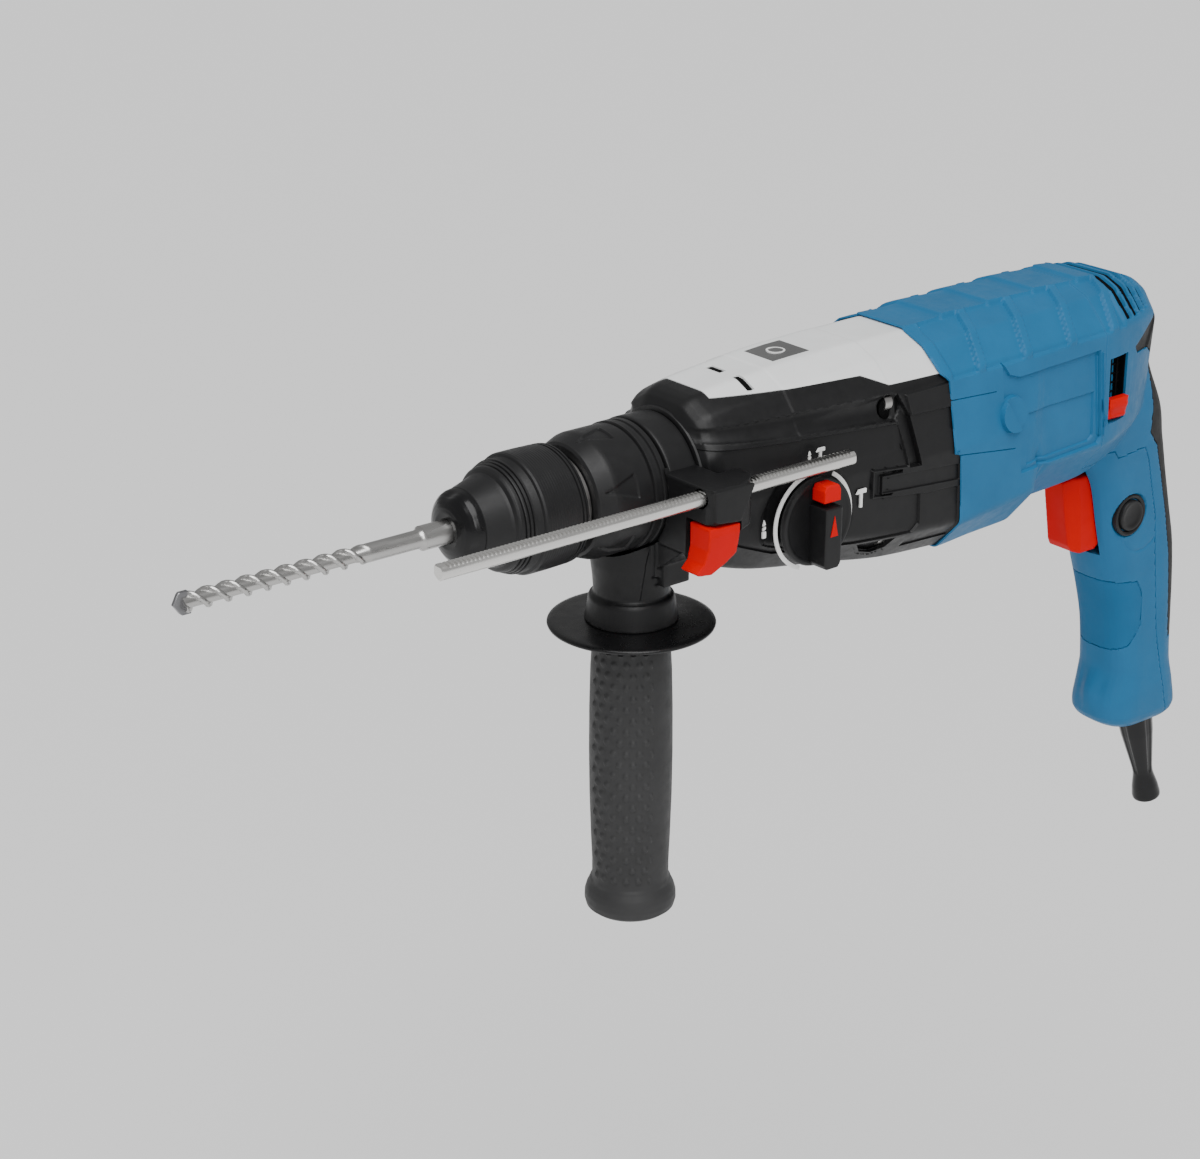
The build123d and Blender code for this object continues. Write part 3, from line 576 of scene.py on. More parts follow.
# ---- gear case
CASE_STATIONS = [
    (106.4, [(10, 26), (18.5, 21), (25, 11), (26, -8.5), (22, -20), (12, -26)], 9),
    (110, [(11, 32), (21, 26), (29.5, 13.5), (31.5, -7), (28, -22.5), (16.5, -33)], 8),
    (116, [(11.5, 34.8), (22.2, 29), (31.4, 15.3), (34.4, -6), (32, -23.6), (20, -36.6)], 7),
    (138, [(12, 37.5), (23.5, 32), (34, 18), (38, -6), (37, -28), (26, -42)], 6),
    (172, [(13, 40), (25, 34), (36, 22), (40, -6), (40, -33), (27, -47)], 5),
    (210, [(13, 41), (25, 36), (37, 25), (41.5, -6), (42, -38), (28, -53)], 5),
    (241, [(13, 41.5), (25, 36.5), (37, 26), (42, -6), (43, -40), (28, -55)], 5),
]
COVER = [(117, 60), (120.5, 33.6), (192, 32.3), (203.5, 27.4), (241, 27.2), (241, 60)]
CASE_FEATURES = [
    ([(104, 17.2), (200, 11.6), (206, 11), (210, -8), (190, -6.2), (190, -18), (217, -21.3), (217, -35),
      (213, -38.4), (183, -37.5), (140, -33), (112, -22)], 1.1, 0.5, 0),
    ([(205.5, 24.5), (212, 13.5), (217.5, -9), (210.5, -8.6), (205.3, 12)], 2.6, 0.5, 0),
    ([(190.3, -6.6), (206.5, -8.3), (206.5, -10), (195, -9.4), (195, -17.2), (201, -17.6), (201, -18.8),
      (190.6, -17.6)], 1.6, 0.4, 0),
    ([(195.2, -9.6), (240, -12.8), (240, -20), (195.2, -17)], 0.9, 0.4, 0),
    ([(209.5, 23), (240, 23.8), (240, 12.6), (212, 13.4)], -0.9, 0.5, 0),
    ([(217.3, -21.6), (240, -22.6), (240, -47), (213, -47), (213.3, -38.6), (217.3, -35)], 0.9, 0.5, 0),
    ([(185, -38.6), (205, -39), (203.5, -44.5), (197.5, -46.4), (190, -44)], 3.2, 0.6, 0),
    ([(137.6, 7.4), (141.6, 7.4), (141.6, -2), (137.6, -2)], 2.4, 0.25, "top"),
    ([(137.6, -9), (141.6, -9), (141.6, -19.6), (137.6, -19.6)], 2.4, 0.25, "top"),
    ([(152, 60), (204, 60), (204, -60), (152, -60)], -0.35, 1.2, "top"),
]


def case_relief(points, normals):
    """The long tapering groove with its round end, and the shallow dish round the dial."""
    x, y, z = points.T
    flank = ease(np.abs(normals[:, 1]) - 0.35, 0.15)
    run = np.clip((x - 104) / 96, 0, 1)
    middle, half = 22.0 - 3.4 * run, 2.4 + 3.3 * run
    round_floor = np.sqrt(np.clip(1 - ((z - middle) / half) ** 2, 0, 1))
    inward = 3.4 * round_floor * (0.3 + 0.7 * run) * ease(x - 106, 3) * ease(203 - x, 1.0) * flank
    inward += 2.2 * disc(*SCREW_HOLE, 5.6, x, z) * flank
    inward += 0.7 * disc(*DIAL_CENTRE, 23.5, x, z) * (y < -36)
    return points - normals * inward[:, None]


SCREW_HOLE = (202.5, 18.2)  # x, z of the hole at the groove's back end
DIAL_CENTRE = (156, -19.5)


def gear_case():
    shell = fuse("gear_case", [barrel(CASE_STATIONS)], 0.72, 5)
    subtract(shell, revolve([(100, 18), (120, 18)]))
    reshape(shell, case_relief)
    carve(shell, CASE_FEATURES)
    parts = split(shell, {"top_cover": COVER})
    housing = thicken(parts["rest"], 1.6)
    housing.name = "gear_housing_body"
    dress(housing, "black_plastic", "root", ["gear_housing"])
    cover = reshape(parts["top_cover"], lambda p, n: p + 0.35 * n)
    cover = thicken(cover, 1.8)
    cover.name = "top_cover_shell"
    dress(cover, "grey_cover", "root", ["top_cover"])
    # painted shade: a dark disc inside the screw hole hides the screw and stands for the shade in the hole
    floor = revolve([(-35.0, 0.5), (-35.0, 5.3), (-34.0, 5.3), (-34.0, 0.5)], 48)
    floor = placed(floor, ACROSS, (SCREW_HOLE[0], 0, SCREW_HOLE[1]))
    piece("screw_hole_shade", floor, "black_plastic", "root", look="painted_shade_black")
    collar = [(91.7, 18), (91.7, 21.4), (106.2, 21.4), (106.2, 26.6), (106.6, 28.4), (107.4, 28.8),
        (108.6, 28.4), (110, 27), (110, 18)]
    piece("clamp_collar", revolve(fine(collar, 1.5), 128, cap=False), "black_plastic", "root")
    # painted shade: dark blocks inside the cover's slots stand for the shade in them
    for name, roof in (("cover_slot_shade_left", [(-1.8, 37.5), (7.2, 37.5)]),
                       ("cover_slot_shade_right", [(-19.3, 33.7), (-12.6, 37.0), (-9.2, 37.4)])):
        slot = prism(roof + [(roof[-1][0], 28), (roof[0][0], 28)], 137.8, 141.4)
        piece(name, placed(slot, ACROSS), "black_plastic", "root", look="painted_shade_black")
    cover_badge()


def cover_badge():
    """Plain plate that follows the top cover, with a ring on it."""
    front, length, width = 160.2, 20.4, 18.8
    cols, rows = 26, 14
    verts = []
    for i in range(cols + 1):
        x = front + length * i / cols
        crown = np.interp(x, [138, 172, 210], [37.5, 40, 41])
        for j in range(rows + 1):
            y = width * j / rows - width / 2
            verts.append((x, y, crown - 0.5 * max(0, abs(y) - 13) + 0.95))
    n = rows + 1
    faces = [(i * n + j, (i + 1) * n + j, (i + 1) * n + j + 1, i * n + j + 1)
             for i in range(cols) for j in range(rows)]
    plate = mesh_object("cover_badge", (verts, faces))
    bake(plate, ("SOLIDIFY", {"thickness": 1.0 * MM, "offset": -1.0}),
         ("BEVEL", {"width": 0.3 * MM, "segments": 2}))
    dress(plate, "black_plastic", "root", look="fan_plastic", smooth=50)
    ring = revolve([(40.3, 3.3), (41.1, 3.3), (41.1, 4.1), (40.3, 4.1), (40.3, 3.3)], 48, "z", (170, 0, 0),
                   cap=False)
    piece("cover_badge_ring", ring, "print_white", "root")


# ---- motor housing and main handle
MOTOR_STATIONS = [
    (228, [(14, 42.4), (26, 37.8), (38.4, 27), (43, -6), (44, -40), (29, -56)], 5),
    (236, [(14, 42.6), (26, 38), (38.5, 27), (43, -6), (44, -40), (29, -56)], 5),
    (262, [(14, 44), (26, 39.5), (38.5, 28), (43, -6), (43.5, -38), (28, -55)], 5),
    (287, [(14, 44.5), (26, 40), (38.5, 28), (42.5, -6), (42.5, -36), (27, -54.5)], 5),
    (297, [(14, 44.8), (26, 40.3), (38.5, 28), (41.5, -26), (25, -47), (10, -54)], 5),
    (335, [(14, 45), (25, 41), (37.5, 28), (39, -26), (23, -46), (10, -53)], 5),
    (360, [(13, 44), (22, 40), (33, 27), (32, -24), (21, -40), (10, -50)], 7),
    (380, [(11, 38), (17, 35), (25, 24), (22, -20), (15, -32), (8, -40)], 6),
    (388, [(9, 30), (14, 27), (19, 20), (16, -12), (10, -20), (6, -24)], 4),
]
HANDLE_LEVELS = [(-192, 389, 430, 14.5, 12), (-187, 382.5, 433.5, 18, 14), (-174, 380.5, 431, 18.5, 14),
    (-160, 385, 428, 17.5, 13), (-140, 383, 427, 17, 13), (-120, 378, 426, 17, 13),
    (-100, 371.5, 424, 17, 13), (-80, 366, 419, 17.5, 13), (-60, 361, 413.5, 18.5, 13),
    (-42, 352, 408.5, 20, 13), (-24, 350, 402, 22, 12), (-4, 352, 392, 21, 10), (16, 356, 385, 19, 8)]
REAR_SEAM = [(334, 60), (334, -40), (352, -42), (366, -41), (369, -45), (387, -43), (391, -50), (401, -81),
    (409, -144), (417, -180), (424, -200)]
RUBBER = [(360, 14), (372, 20), (386, 25), (400, 30), (480, 22), (480, -149), (419, -149), (417, -130),
    (414, -104), (409, -82), (402, -60), (396, -44), (389, -36), (388, -20), (386, -8), (382, 5), (374, 10),
    (362, 11)]
INSERT = [(340, -108), (392, -113), (396, -120), (397, -137), (391, -147), (380, -152), (340, -150)]
LOCK = (383, -77)  # x, z of the lock-on button
RIDGE_STEP = 28.5  # from one scale over the top to the next
FRONT_TRIM = [(200, 60), (229.2, 60), (230.6, 28), (234.6, 24), (236.2, -8), (239.6, -9), (241, -70),
    (200, -70)]
BOSS_TURNS = [math.radians(15 * i) for i in range(24)]
BOSS = [(272 + 8.2 * math.cos(turn), 2.5 + 8.2 * math.sin(turn)) for turn in BOSS_TURNS]
VENT_SLOTS = (352, 358.5, 365, 371.5)
MOTOR_FEATURES = [
    ([(266.4, 26.4), (271, 20), (277, 18), (330.5, 19.5), (333.5, -21.5), (331.5, -24.6), (277.5, -25.8),
      (276.5, -7), (266.5, 10)], 1.5, 0.7, 0),
    ([(283, 0.5), (328.4, 0.5), (328.8, -20.2), (325.5, -22.2), (282, -23.2)], 0.9, 0.5, 0),
    (BOSS, -2.0, 0.5, 0),
    ([(230, 16.2), (262.3, 14.6), (262.3, 14.0), (230, 15.6)], 0.6, 0.2, 0),
    ([(236, -8.2), (273.3, -12.8), (273.3, -13.4), (236, -8.8)], 0.6, 0.2, 0),
    ([(328.2, 17.6), (329.1, 17.6), (332.2, -20.5), (331.3, -20.5)], -0.7, 0.3, 0),
    ([(331.4, 18.4), (332.3, 18.4), (335.2, -21), (334.3, -21)], -0.7, 0.3, 0),
    ([(337.6, 13.6), (352.4, 13.6), (352.4, -17), (337.6, -17)], 5.2, 0.3, -1),
]


def motor_relief(points, normals):
    """Overlapping scales over the top, facets with slanting ribs along the shoulders, the cooling
    slots at the back, and the soft hollows of the handle."""
    x, y, z = points.T
    flank = ease(np.abs(normals[:, 1]) - 0.4, 0.15)
    wide = np.abs(y)
    crown = ease(z - 33, 1.5) * ease(351 - x, 1.5) * ease(14.5 - wide, 0.7)
    phase = ((x - 252) % RIDGE_STEP) / RIDGE_STEP
    inward = -1.25 * crown * ease(phase - 0.03, 0.03) * (1 - phase) ** 1.3
    swept = x - 265.5 + 0.42 * (wide - 12)
    rib = np.abs((swept + RIDGE_STEP / 2) % RIDGE_STEP - RIDGE_STEP / 2)
    shoulder = ease(wide - 13.6, 0.5) * ease(z - 24.5 - 0.02 * (x - 240), 0.7)
    shoulder = shoulder * ease(349 - x, 1) * ease(x - 237, 1)
    inward += shoulder * (1.25 * ease(rib - 2.6, 0.6) - 0.35 * ease(2.4 - rib, 0.6))
    for slot in VENT_SLOTS:
        lean = x - slot - 0.12 * (45 - z)
        inward += 3.8 * ease(1.95 - np.abs(lean), 0.4) * ease(z - 29, 0.8)
    inward += 1.7 * disc(*LOCK, 10.6, x, z, 0.4) * flank * (y < 0)
    scoop = np.exp(-(((x - 384) / 10.0) ** 2 + ((z + 172) / 9.0) ** 2))
    inward += 2.2 * scoop * ease(wide - 4, 3) * ease(398 - x, 6)
    arc = np.hypot(x - 392, z + 84)
    inward += 0.4 * ease(0.5 - np.abs(arc - 13), 0.35) * (z < -90) * (x < 402) * flank * (y < 0)
    inward += 0.9 * inside(RUBBER[:3] + RUBBER[-2:], x, z, 0.8)
    return points - normals * inward[:, None]


def rim(obj, depth=0.7):
    """Turns the open borders of a shell inwards, so that a dark seam shows between neighbours."""
    with editing(obj.data) as bm:
        bm.normal_update()
        for vert in {v for e in bm.edges if len(e.link_faces) == 1 for v in e.verts}:
            vert.co -= vert.normal * depth * MM
    return obj


def motor_body():
    shell = fuse("motor_body", [barrel(MOTOR_STATIONS), upright(HANDLE_LEVELS)], 0.75, 6)
    reshape(shell, motor_relief)
    carve(shell, MOTOR_FEATURES)
    trigger_opening = block(338, 384, -9.6, 9.6, -97, -51.5)
    subtract(shell, trigger_opening)
    parts = split(shell, {"trim": FRONT_TRIM, "rubber": RUBBER, "insert": INSERT,
                          "rear": REAR_SEAM + [(480, -200), (480, 60)]})
    bpy.data.objects.remove(parts["trim"])
    for key, slot, name, node in (
            ("rest", "blue_plastic", "motor_housing_body", "motor_housing"),
            ("rear", "blue_plastic", "rear_handle_body", "rear_handle_shell"),
            ("rubber", "black_rubber", "rubber_back_skin", "rubber_back"),
            ("insert", "blue_soft", "grip_insert_skin", "grip_insert")):
        skin = thicken(rim(parts[key]), 1.5)
        skin.name = name
        dress(skin, slot, "root", [node])


def vent_shadow():
    """Painted shade: a dark core inside the cooling slots at the back of the motor, standing for the shade
    in them.
    """
    gap = 0.8
    known = [station[0] for station in MOTOR_STATIONS]
    stations = []
    for x in (351.4, 356, 362, 368, 375):
        corners = []
        for i in range(6):
            y, z = (np.interp(x, known, [station[1][i][k] for station in MOTOR_STATIONS]) for k in (0, 1))
            corners.append((y - gap, z - math.copysign(gap, z)))
        stations.append((x, corners, 5))
    piece("motor_vent_shade", barrel(stations), "black_plastic", "root", look="painted_shade_black")


# ---- chuck
def nose_cap():
    profile = [(0.2, 5.2), (0.0, 7.5), (0.5, 9.6), (1.3, 11.8), (2.6, 13.6), (4.2, 14.9), (6.0, 15.6),
        (7.7, 15.8), (7.9, 15.2), (7.9, 12.5)]

    def scallops(x, angle):
        """Three shallow finger hollows round the dome."""
        lobe = np.clip(np.cos(3 * (angle - math.radians(200))), 0, 1) ** 3
        return -1.5 * lobe * math.exp(-((x - 4.2) / 2.3) ** 2)
    cap = revolve(fine(profile, 0.5) + [(7.9, 5.2)], 144, bulge=scallops, cap=False)
    piece("dust_cap", cap, "black_rubber", "spindle", ["nose_cap"], "gloss_black_rubber", 60)


def locking_sleeve():
    profile = [(25, 12.4), (8.1, 12.4), (8.1, 15.3), (8.5, 15.8), (18.6, 18.7), (19.6, 19.2), (20.3, 20.6),
        (21.2, 21.3)]
    for x, r in ((22.0, 21.5), (23.5, 22.2), (25.0, 22.8)):
        profile += [(x, r), (x + 0.35, r + 0.05), (x + 0.5, r - 0.45), (x + 0.95, r - 0.35),
                    (x + 1.1, r + 0.5)]
    profile += [(26.9, 23.4), (27.2, 22.5), (30.2, 23.5), (30.7, 24.5), (31.6, 24.9), (40, 24.9),
                (48.2, 24.7), (48.4, 24.1), (49.0, 24.1), (49.2, 24.7), (49.9, 24.7), (50.1, 24.1),
                (50.7, 24.1), (50.9, 24.6), (51.6, 24.5), (52, 24.1), (52, 20.1), (25, 20.1)]

    def waves(x, angle):
        """Fine turned lines on the main grip."""
        return np.full_like(angle, 0.05 * math.sin(x * 5.2) if 32 < x < 48 else 0.0)
    sleeve = revolve(fine(profile, 0.3), 160, bulge=waves, cap=False)
    piece("locking_sleeve_shell", sleeve, "chuck_black", "locking_sleeve", ["locking_sleeve"], smooth=28)


def change_ring():
    profile = [(57.2, 13.9), (57.2, 22.6), (58, 23.7), (65, 26.2), (66.4, 26.4), (82.4, 26.4), (82.8, 25.7),
        (83.6, 25.7), (84, 26.9), (86.8, 26.9), (87.2, 26.2), (88, 26.2), (88.4, 26.9), (90.4, 26.9),
        (91, 26.3), (91, 21.2), (66, 21.2), (66, 13.9)]

    def marks(x, angle):
        """Six recessed pointers round the ring, widening backwards."""
        out = np.zeros_like(angle)
        start, end = 61, 76
        if start < x < end:
            width = 0.19 * (x - start) / (end - start)
            for i in range(6):
                middle = math.radians(160 + 60 * i)
                off = np.abs((angle - middle + math.pi) % (2 * math.pi) - math.pi)
                out -= 0.8 * ease(width - off, 0.02)
        return out
    ring = revolve(fine(profile, 0.7), 288, bulge=marks, cap=False)
    piece("change_ring_shell", ring, "chuck_black", "change_ring", ["change_ring"], smooth=25)


def drill_bit():
    """Shank, neck and two-flute spiral."""
    count, pitch, neck = 72, 17.0, 3.75
    angles = np.linspace(0, 2 * math.pi, count, endpoint=False)
    stations = np.concatenate([np.linspace(-118, -42, 260), np.linspace(-41.7, -36, 12),
                               [-14.5, -13.2, -12.2, -12, 0, 14, 44, 45.3]])
    radii = {-14.5: neck, -13.2: 3.9, -12.2: 4.7, -12: 5.0, 0: 5.0, 14: 5.0, 44: 5.0, 45.3: 4.3}
    verts = []
    for x in stations:
        if x <= -36:
            deep = np.clip((-37.0 - x) / 6, 0, 1)
            wave = np.cos(2 * (angles - 2 * math.pi * x / pitch))
            land = ease(wave - 0.62, 0.12)
            margin = ease(wave - 0.93, 0.03)
            r = neck + deep * (-1.25 + 1.35 * land + 0.25 * margin)
        else:
            r = np.full(count, radii[float(x)])
        verts.append(np.column_stack([np.full(count, x), r * np.cos(angles), r * np.sin(angles)]))
    shape = np.concatenate(verts), tube_faces(len(stations), count)
    piece("drill_bit_spiral", shape, "bright_steel", "bit", ["drill_bit"], "bit_steel", 35)


def carbide_tip():
    """Slightly slanting plate with a pointed front and chamfered sides."""
    root, half = -115.2, 4.25
    outline = [(-122, 0), (-119.6, 3.6), (-118.8, half), (root, half), (root, -half), (-118.8, -half),
               (-119.6, -3.6)]
    verts = []
    for y, scale in ((-1.0, 0.96), (-0.6, 1.0), (0.6, 1.0), (1.0, 0.96)):
        verts += [(root + (x - root) * scale, y + 0.18 * z, z * scale) for x, z in outline]
    shape = verts, tube_faces(4, len(outline))
    piece("carbide_cutter", shape, "carbide", "bit", ["carbide_tip"], smooth=20)


# ---- side handle
GRIP_AXIS = (93, 0, 0)  # the side grip's own axis runs along Z through this point
ROD_RADIUS = 3.5


def clamp_band():
    profile = [(92, 21.9), (92, 26.8), (92.6, 27.3), (105.2, 27.3), (106, 26.6), (106, 21.9), (92, 21.9)]
    band = revolve(fine(soften(profile, 0.3), 1.2), 160, cap=False)
    piece("clamp_band_ring", band, "chuck_black", "side_handle", ["clamp_band"])


BUTTON = [(88.2, -4.2), (104, -4.7), (103.8, -17.4), (98.6, -21.2), (91.8, -24.8), (85, -23.9),
    (83.8, -22.8), (87, -19.6), (88.4, -13.5)]
BRACKET_FEATURES = [
    ([(105, -17), (97, -21.4), (88.4, -24.5), (86.6, -31), (85.4, -46.4), (86.3, -46.4), (87.5, -30.7),
      (89, -23.9), (97.3, -20.6), (105, -16.2)], 0.5, 0.2, -1),
    ([(74, -47.6), (112, -47.6), (112, -48.4), (74, -48.4)], 0.5, 0.2, 0),
]


def bracket():
    """Block round the depth rod, curved web, and the neck that stands on the guard."""
    neck = revolve([(-59.5, 20), (-58.4, 19.5), (-49.6, 18.1), (-48.6, 17.6), (-47.4, 15.9), (-40, 16.4),
                    (-33.7, 17.2), (-24, 17.2), (-18, 16)], 72, "z", GRIP_AXIS)
    nose = prism([(89.2, -49.6), (91.2, -53.6), (104.8, -54.2), (112.1, -51), (116.4, -46.6), (116.4, -38.4),
                  (89.2, -38.4)], -8.6, 11.2)
    nose = placed(nose, UPRIGHT)
    inner = prism([(89.2, 11.2), (105.9, 11.2), (105.9, -16), (99, -20), (89.2, -20)], -40, -21)
    cheek = prism([(89.2, 4), (105.9, 4), (105.9, -15), (97, -19.8), (91, -22.4), (89.2, -21)], -51.6, -38)
    fin = prism([(-36, -8), (-40, -16), (-28, -25.5), (-17, -33.5), (-6, -38), (-6, -20)], 90.6, 104.6)
    fin = placed(fin, ACROSS)
    cover = prism([(90.8, 10.6), (111.2, 10.6), (104.2, -4), (91, -2.4)], -55.2, -53)
    web = block(90.2, 105.9, -19, -6, -36, -20)
    saddle = prism([(92.3, -20), (105.8, -20), (105.8, -40), (92.3, -40)], -22, 22)
    solid = fuse("bracket", [neck, nose, inner, cheek, fin, cover, web, saddle], 0.6, 3)

    def clear(points, normals):
        """Keeps the moulding outside the clamp band and the chuck ring."""
        x, y, z = points.T
        r = np.hypot(y, z)
        floor = np.where(x < 91.9, 28.0, 27.0)
        grow = np.where((r < floor) & (z > -40), floor / np.maximum(r, 1e-6), 1.0)
        return np.column_stack([x, y * grow, z * grow])
    reshape(solid, clear)
    carve(solid, BRACKET_FEATURES)
    rod_low, rod_high = tool_box("depth_rod")
    rod_y, rod_z = (rod_low[1] + rod_high[1]) / 2, rod_low[2] + ROD_RADIUS
    hole = revolve([(80, 4.2), (125, 4.2)], 48, centre=(0, rod_y, rod_z))
    pocket = prism(inset(BUTTON, -0.35), -62, -38.6)
    subtract(solid, hole, pocket)
    dress(solid, "black_plastic", "side_handle", ["handle_bracket"], smooth=38)


def guard():
    profile = [(-59.6, 19.5), (-59.9, 21.5), (-60.2, 26), (-60.4, 33.4), (-60.8, 35.0), (-61.4, 35.3),
        (-62.1, 35.0), (-62.5, 34), (-62.5, 5)]
    plate = revolve(fine(profile, 2.0), 160, "z", GRIP_AXIS)
    piece("guard_plate", plate, "black_plastic", "side_handle", ["guard_disc"], "satin_black", 50)


def side_grip():
    profile = [(-62.8, 4.4), (-62.8, 14.4), (-63.6, 15.4), (-66, 16.2), (-72, 17), (-82, 17.6),
        (-100, 18.05), (-120, 18.2), (-140, 18.0), (-160, 17.4), (-172, 16.9), (-178, 16.9), (-181, 17.5),
        (-184, 18.9), (-186.5, 19.6), (-189.5, 19.7), (-192.2, 19.0), (-193.8, 17), (-194.5, 14),
        (-194.5, 0.5)]
    pitch, turn, radius = 5.0, math.radians(18), 18
    first_row, last_row = -70, -178

    def studs(z, angle):
        """Small raised studs on the front and rear quarters; smooth facets on the other two."""
        facet = 0.35 * (np.cos(4 * (angle - math.radians(10))) - 0.4)
        if not last_row < z < first_row:
            return facet * (1.0 if -180 < z < -66 else 0.0)
        row = round((z - first_row) / pitch)
        step = angle / turn + 0.5 * (row % 2)
        across = (step - np.round(step)) * turn * radius
        along = z - first_row - row * pitch
        degrees = np.degrees(angle) % 360
        zone = ((degrees > 172) & (degrees < 262)) | (degrees > 352) | (degrees < 82)
        return facet + 0.85 * zone * ease(1.35 - np.hypot(across, along), 0.45)
    sleeve = revolve(fine(profile, 0.75), 240, "z", GRIP_AXIS, studs)
    piece("side_grip_sleeve", sleeve, "black_rubber", "side_grip", ["side_grip"], "grip_rubber", 50)


def depth_rod():
    """Slightly six-sided rod with a flat top that is notched all along."""
    low, high = tool_box("depth_rod")
    y, z = (low[1] + high[1]) / 2, low[2] + ROD_RADIUS
    count, flat_top, depth, pitch = 32, 2.85, 0.75, 1.9
    angles = np.linspace(0, 2 * math.pi, count, endpoint=False) + math.pi / 2
    xs, deep = [low[0], low[0] + 0.6], [0.0, 0.0]
    x = low[0] + 2.5
    while x < high[0] - 3:
        xs += [x, x + 0.35, x + 0.9, x + 1.25]
        deep += [0.0, depth, depth, 0.0]
        x += pitch
    xs += [high[0] - 0.6, high[0]]
    deep += [0.0, 0.0]
    verts = []
    for i, (x, d) in enumerate(zip(xs, deep)):
        chamfer = 0.75 if i in (0, len(xs) - 1) else 0.0
        r = (3.45 - chamfer) * (1 - 0.03 * np.cos(6 * angles))
        top = np.minimum(r * np.sin(angles), flat_top - chamfer - d)
        verts.append(np.column_stack([np.full(count, x), y + r * np.cos(angles), z + top]))
    shape = np.concatenate(verts), tube_faces(len(xs), count)
    piece("depth_rod_toothed", shape, "bright_steel", "depth_rod", ["depth_rod"], smooth=30)


def depth_button():
    solid = fuse("depth_button_key", [prism(BUTTON, -54.6, -42.2)], 0.45, 3)

    def lean(points, normals):
        """The face slants inwards towards the toe."""
        x, y, z = points.T
        share = np.clip((-y - 42) / 12.6, 0, 1)
        return np.column_stack([x, y + share * np.clip(-8 - z, 0, 20) * 0.16, z])
    reshape(solid, lean)
    dress(solid, "red_plastic", "depth_button", ["depth_button"], smooth=45)


# ---- dial
FACE = -41.0  # y of the dial's mounting face; outwards is -Y


def dial(cx, cz):
    steps_out = [(-11, 0.5), (-11, 7.9), (0.3, 7.9), (0.3, 18.4), (0.8, 19), (2.6, 19), (3.2, 18.6),
        (3.5, 17.8), (3.2, 16.6), (3.0, 15.8), (3.0, 0.5)]
    disc_profile = [(FACE - out, radius) for out, radius in steps_out]
    plate = placed(revolve(disc_profile, 128), ACROSS, (cx, 0, cz))
    piece("dial_disc", plate, "black_plastic", "mode_dial", ["mode_dial"], smooth=35)

    def upright_block(outline, outer, inner):
        return prism([(cx + x, cz + z) for x, z in outline], FACE - outer, FACE - inner)

    bar = [(-5, -16), (-3.4, -18), (3.4, -18), (5, -16), (5, 8.8), (-5, 8.8)]
    grip = fuse("dial_grip", [upright_block(bar, 12.8, 2.2)], 0.45, 3)

    def slope(points, normals):
        """The bar is lower and narrower towards its outer face."""
        x, y, z = points.T
        out = np.clip((-y - 44) / 9.8, 0, 1)
        return np.column_stack([cx + (x - cx) * (1 - 0.1 * out), y + 0.02 * np.clip(cz - z, 0, 20), z])
    reshape(grip, slope)
    dress(grip, "black_plastic", "mode_dial")
    inlay = upright_block([(-2.0, -3.5), (2.0, -3.5), (0, 5.5)], 13.0, 12.4)
    piece("dial_inlay", inlay, "red_plastic", "mode_dial", smooth=20)
    button = [(-4.5, 11), (4.5, 11), (4.5, 16), (3.3, 18.2), (-3.3, 18.2), (-4.5, 16)]
    key = fuse("dial_release", [upright_block(button, 11.4, 3.8)], 0.4, 4)
    dress(key, "red_plastic", "dial_button", ["dial_button"], smooth=50)
    arcs, steps = [], 48
    for start, end in ((78, 250), (-52, 60)):
        verts = []
        for i in range(steps + 1):
            a = math.radians(start + (end - start) * i / steps)
            for r, out in ((19.9, 0.15), (21.7, 0.15), (21.7, -0.4), (19.9, -0.4)):
                verts.append((cx + r * math.cos(a), FACE - out, cz + r * math.sin(a)))
        arcs.append((verts, tube_faces(steps + 1, 4)))
    piece("dial_scale", joined(arcs), "print_white", "root", ["dial_ring"])


def symbols(cx, cz):
    """Plain drill and hammer symbols beside the dial."""
    hammer = [[(-2.8, 2.2), (2.8, 2.2), (2.8, 4.0), (-1.4, 4.0)],
              [(-0.7, -4), (0.7, -4), (0.7, 2.2), (-0.7, 2.2)]]
    drill = [[(-0.9, -4), (0.9, -4), (0.9, -1.2), (-0.9, -1.2)],
             [(-0.7, -0.8), (0.7, -0.2), (0.7, 0.9), (-0.7, 0.3)], [(-0.7, 1.2), (0.7, 1.8), (0, 3.8)]]
    y = FACE + 0.6
    shapes = []
    for outlines, beside, above in ((hammer, (27.5, 3), (3.6, 27.2)), (drill, (-26.5, 2), (-2.4, 27.2))):
        for outline in outlines:
            for (dx, dz), size in ((beside, 1.0), (above, 0.8)):
                points = [(cx + dx + size * px, cz + dz + size * pz) for px, pz in outline]
                shapes.append(prism(points, y - 0.25, y + 0.5))
    piece("dial_symbols", joined(shapes), "print_white", "root")


# ---- trigger, buttons and lever
def trigger():
    outline = [(347, -56), (352, -54.6), (371.6, -54.6), (371.6, -91), (369, -93.4), (359, -93.4),
        (355, -92), (352.6, -88.6), (350.2, -78), (348.4, -66)]
    solid = fuse("trigger_body", [prism(outline, -8.9, 8.9)], 0.5, 8)

    def hollow(points, normals):
        """A shallow finger hollow across the front."""
        x, y, z = points.T
        push = 0.8 * np.exp(-((z + 78) / 11.0) ** 2) * ease(358 - x, 4) * np.exp(-(y / 9.0) ** 2)
        front = np.clip((359 - x - 0.1 * (z + 93)) / 7, 0, 1)
        return np.column_stack([x + push, y * (1 - 0.28 * front), z])
    reshape(solid, hollow)
    dress(solid, "red_plastic", "trigger", ["trigger"], smooth=50)


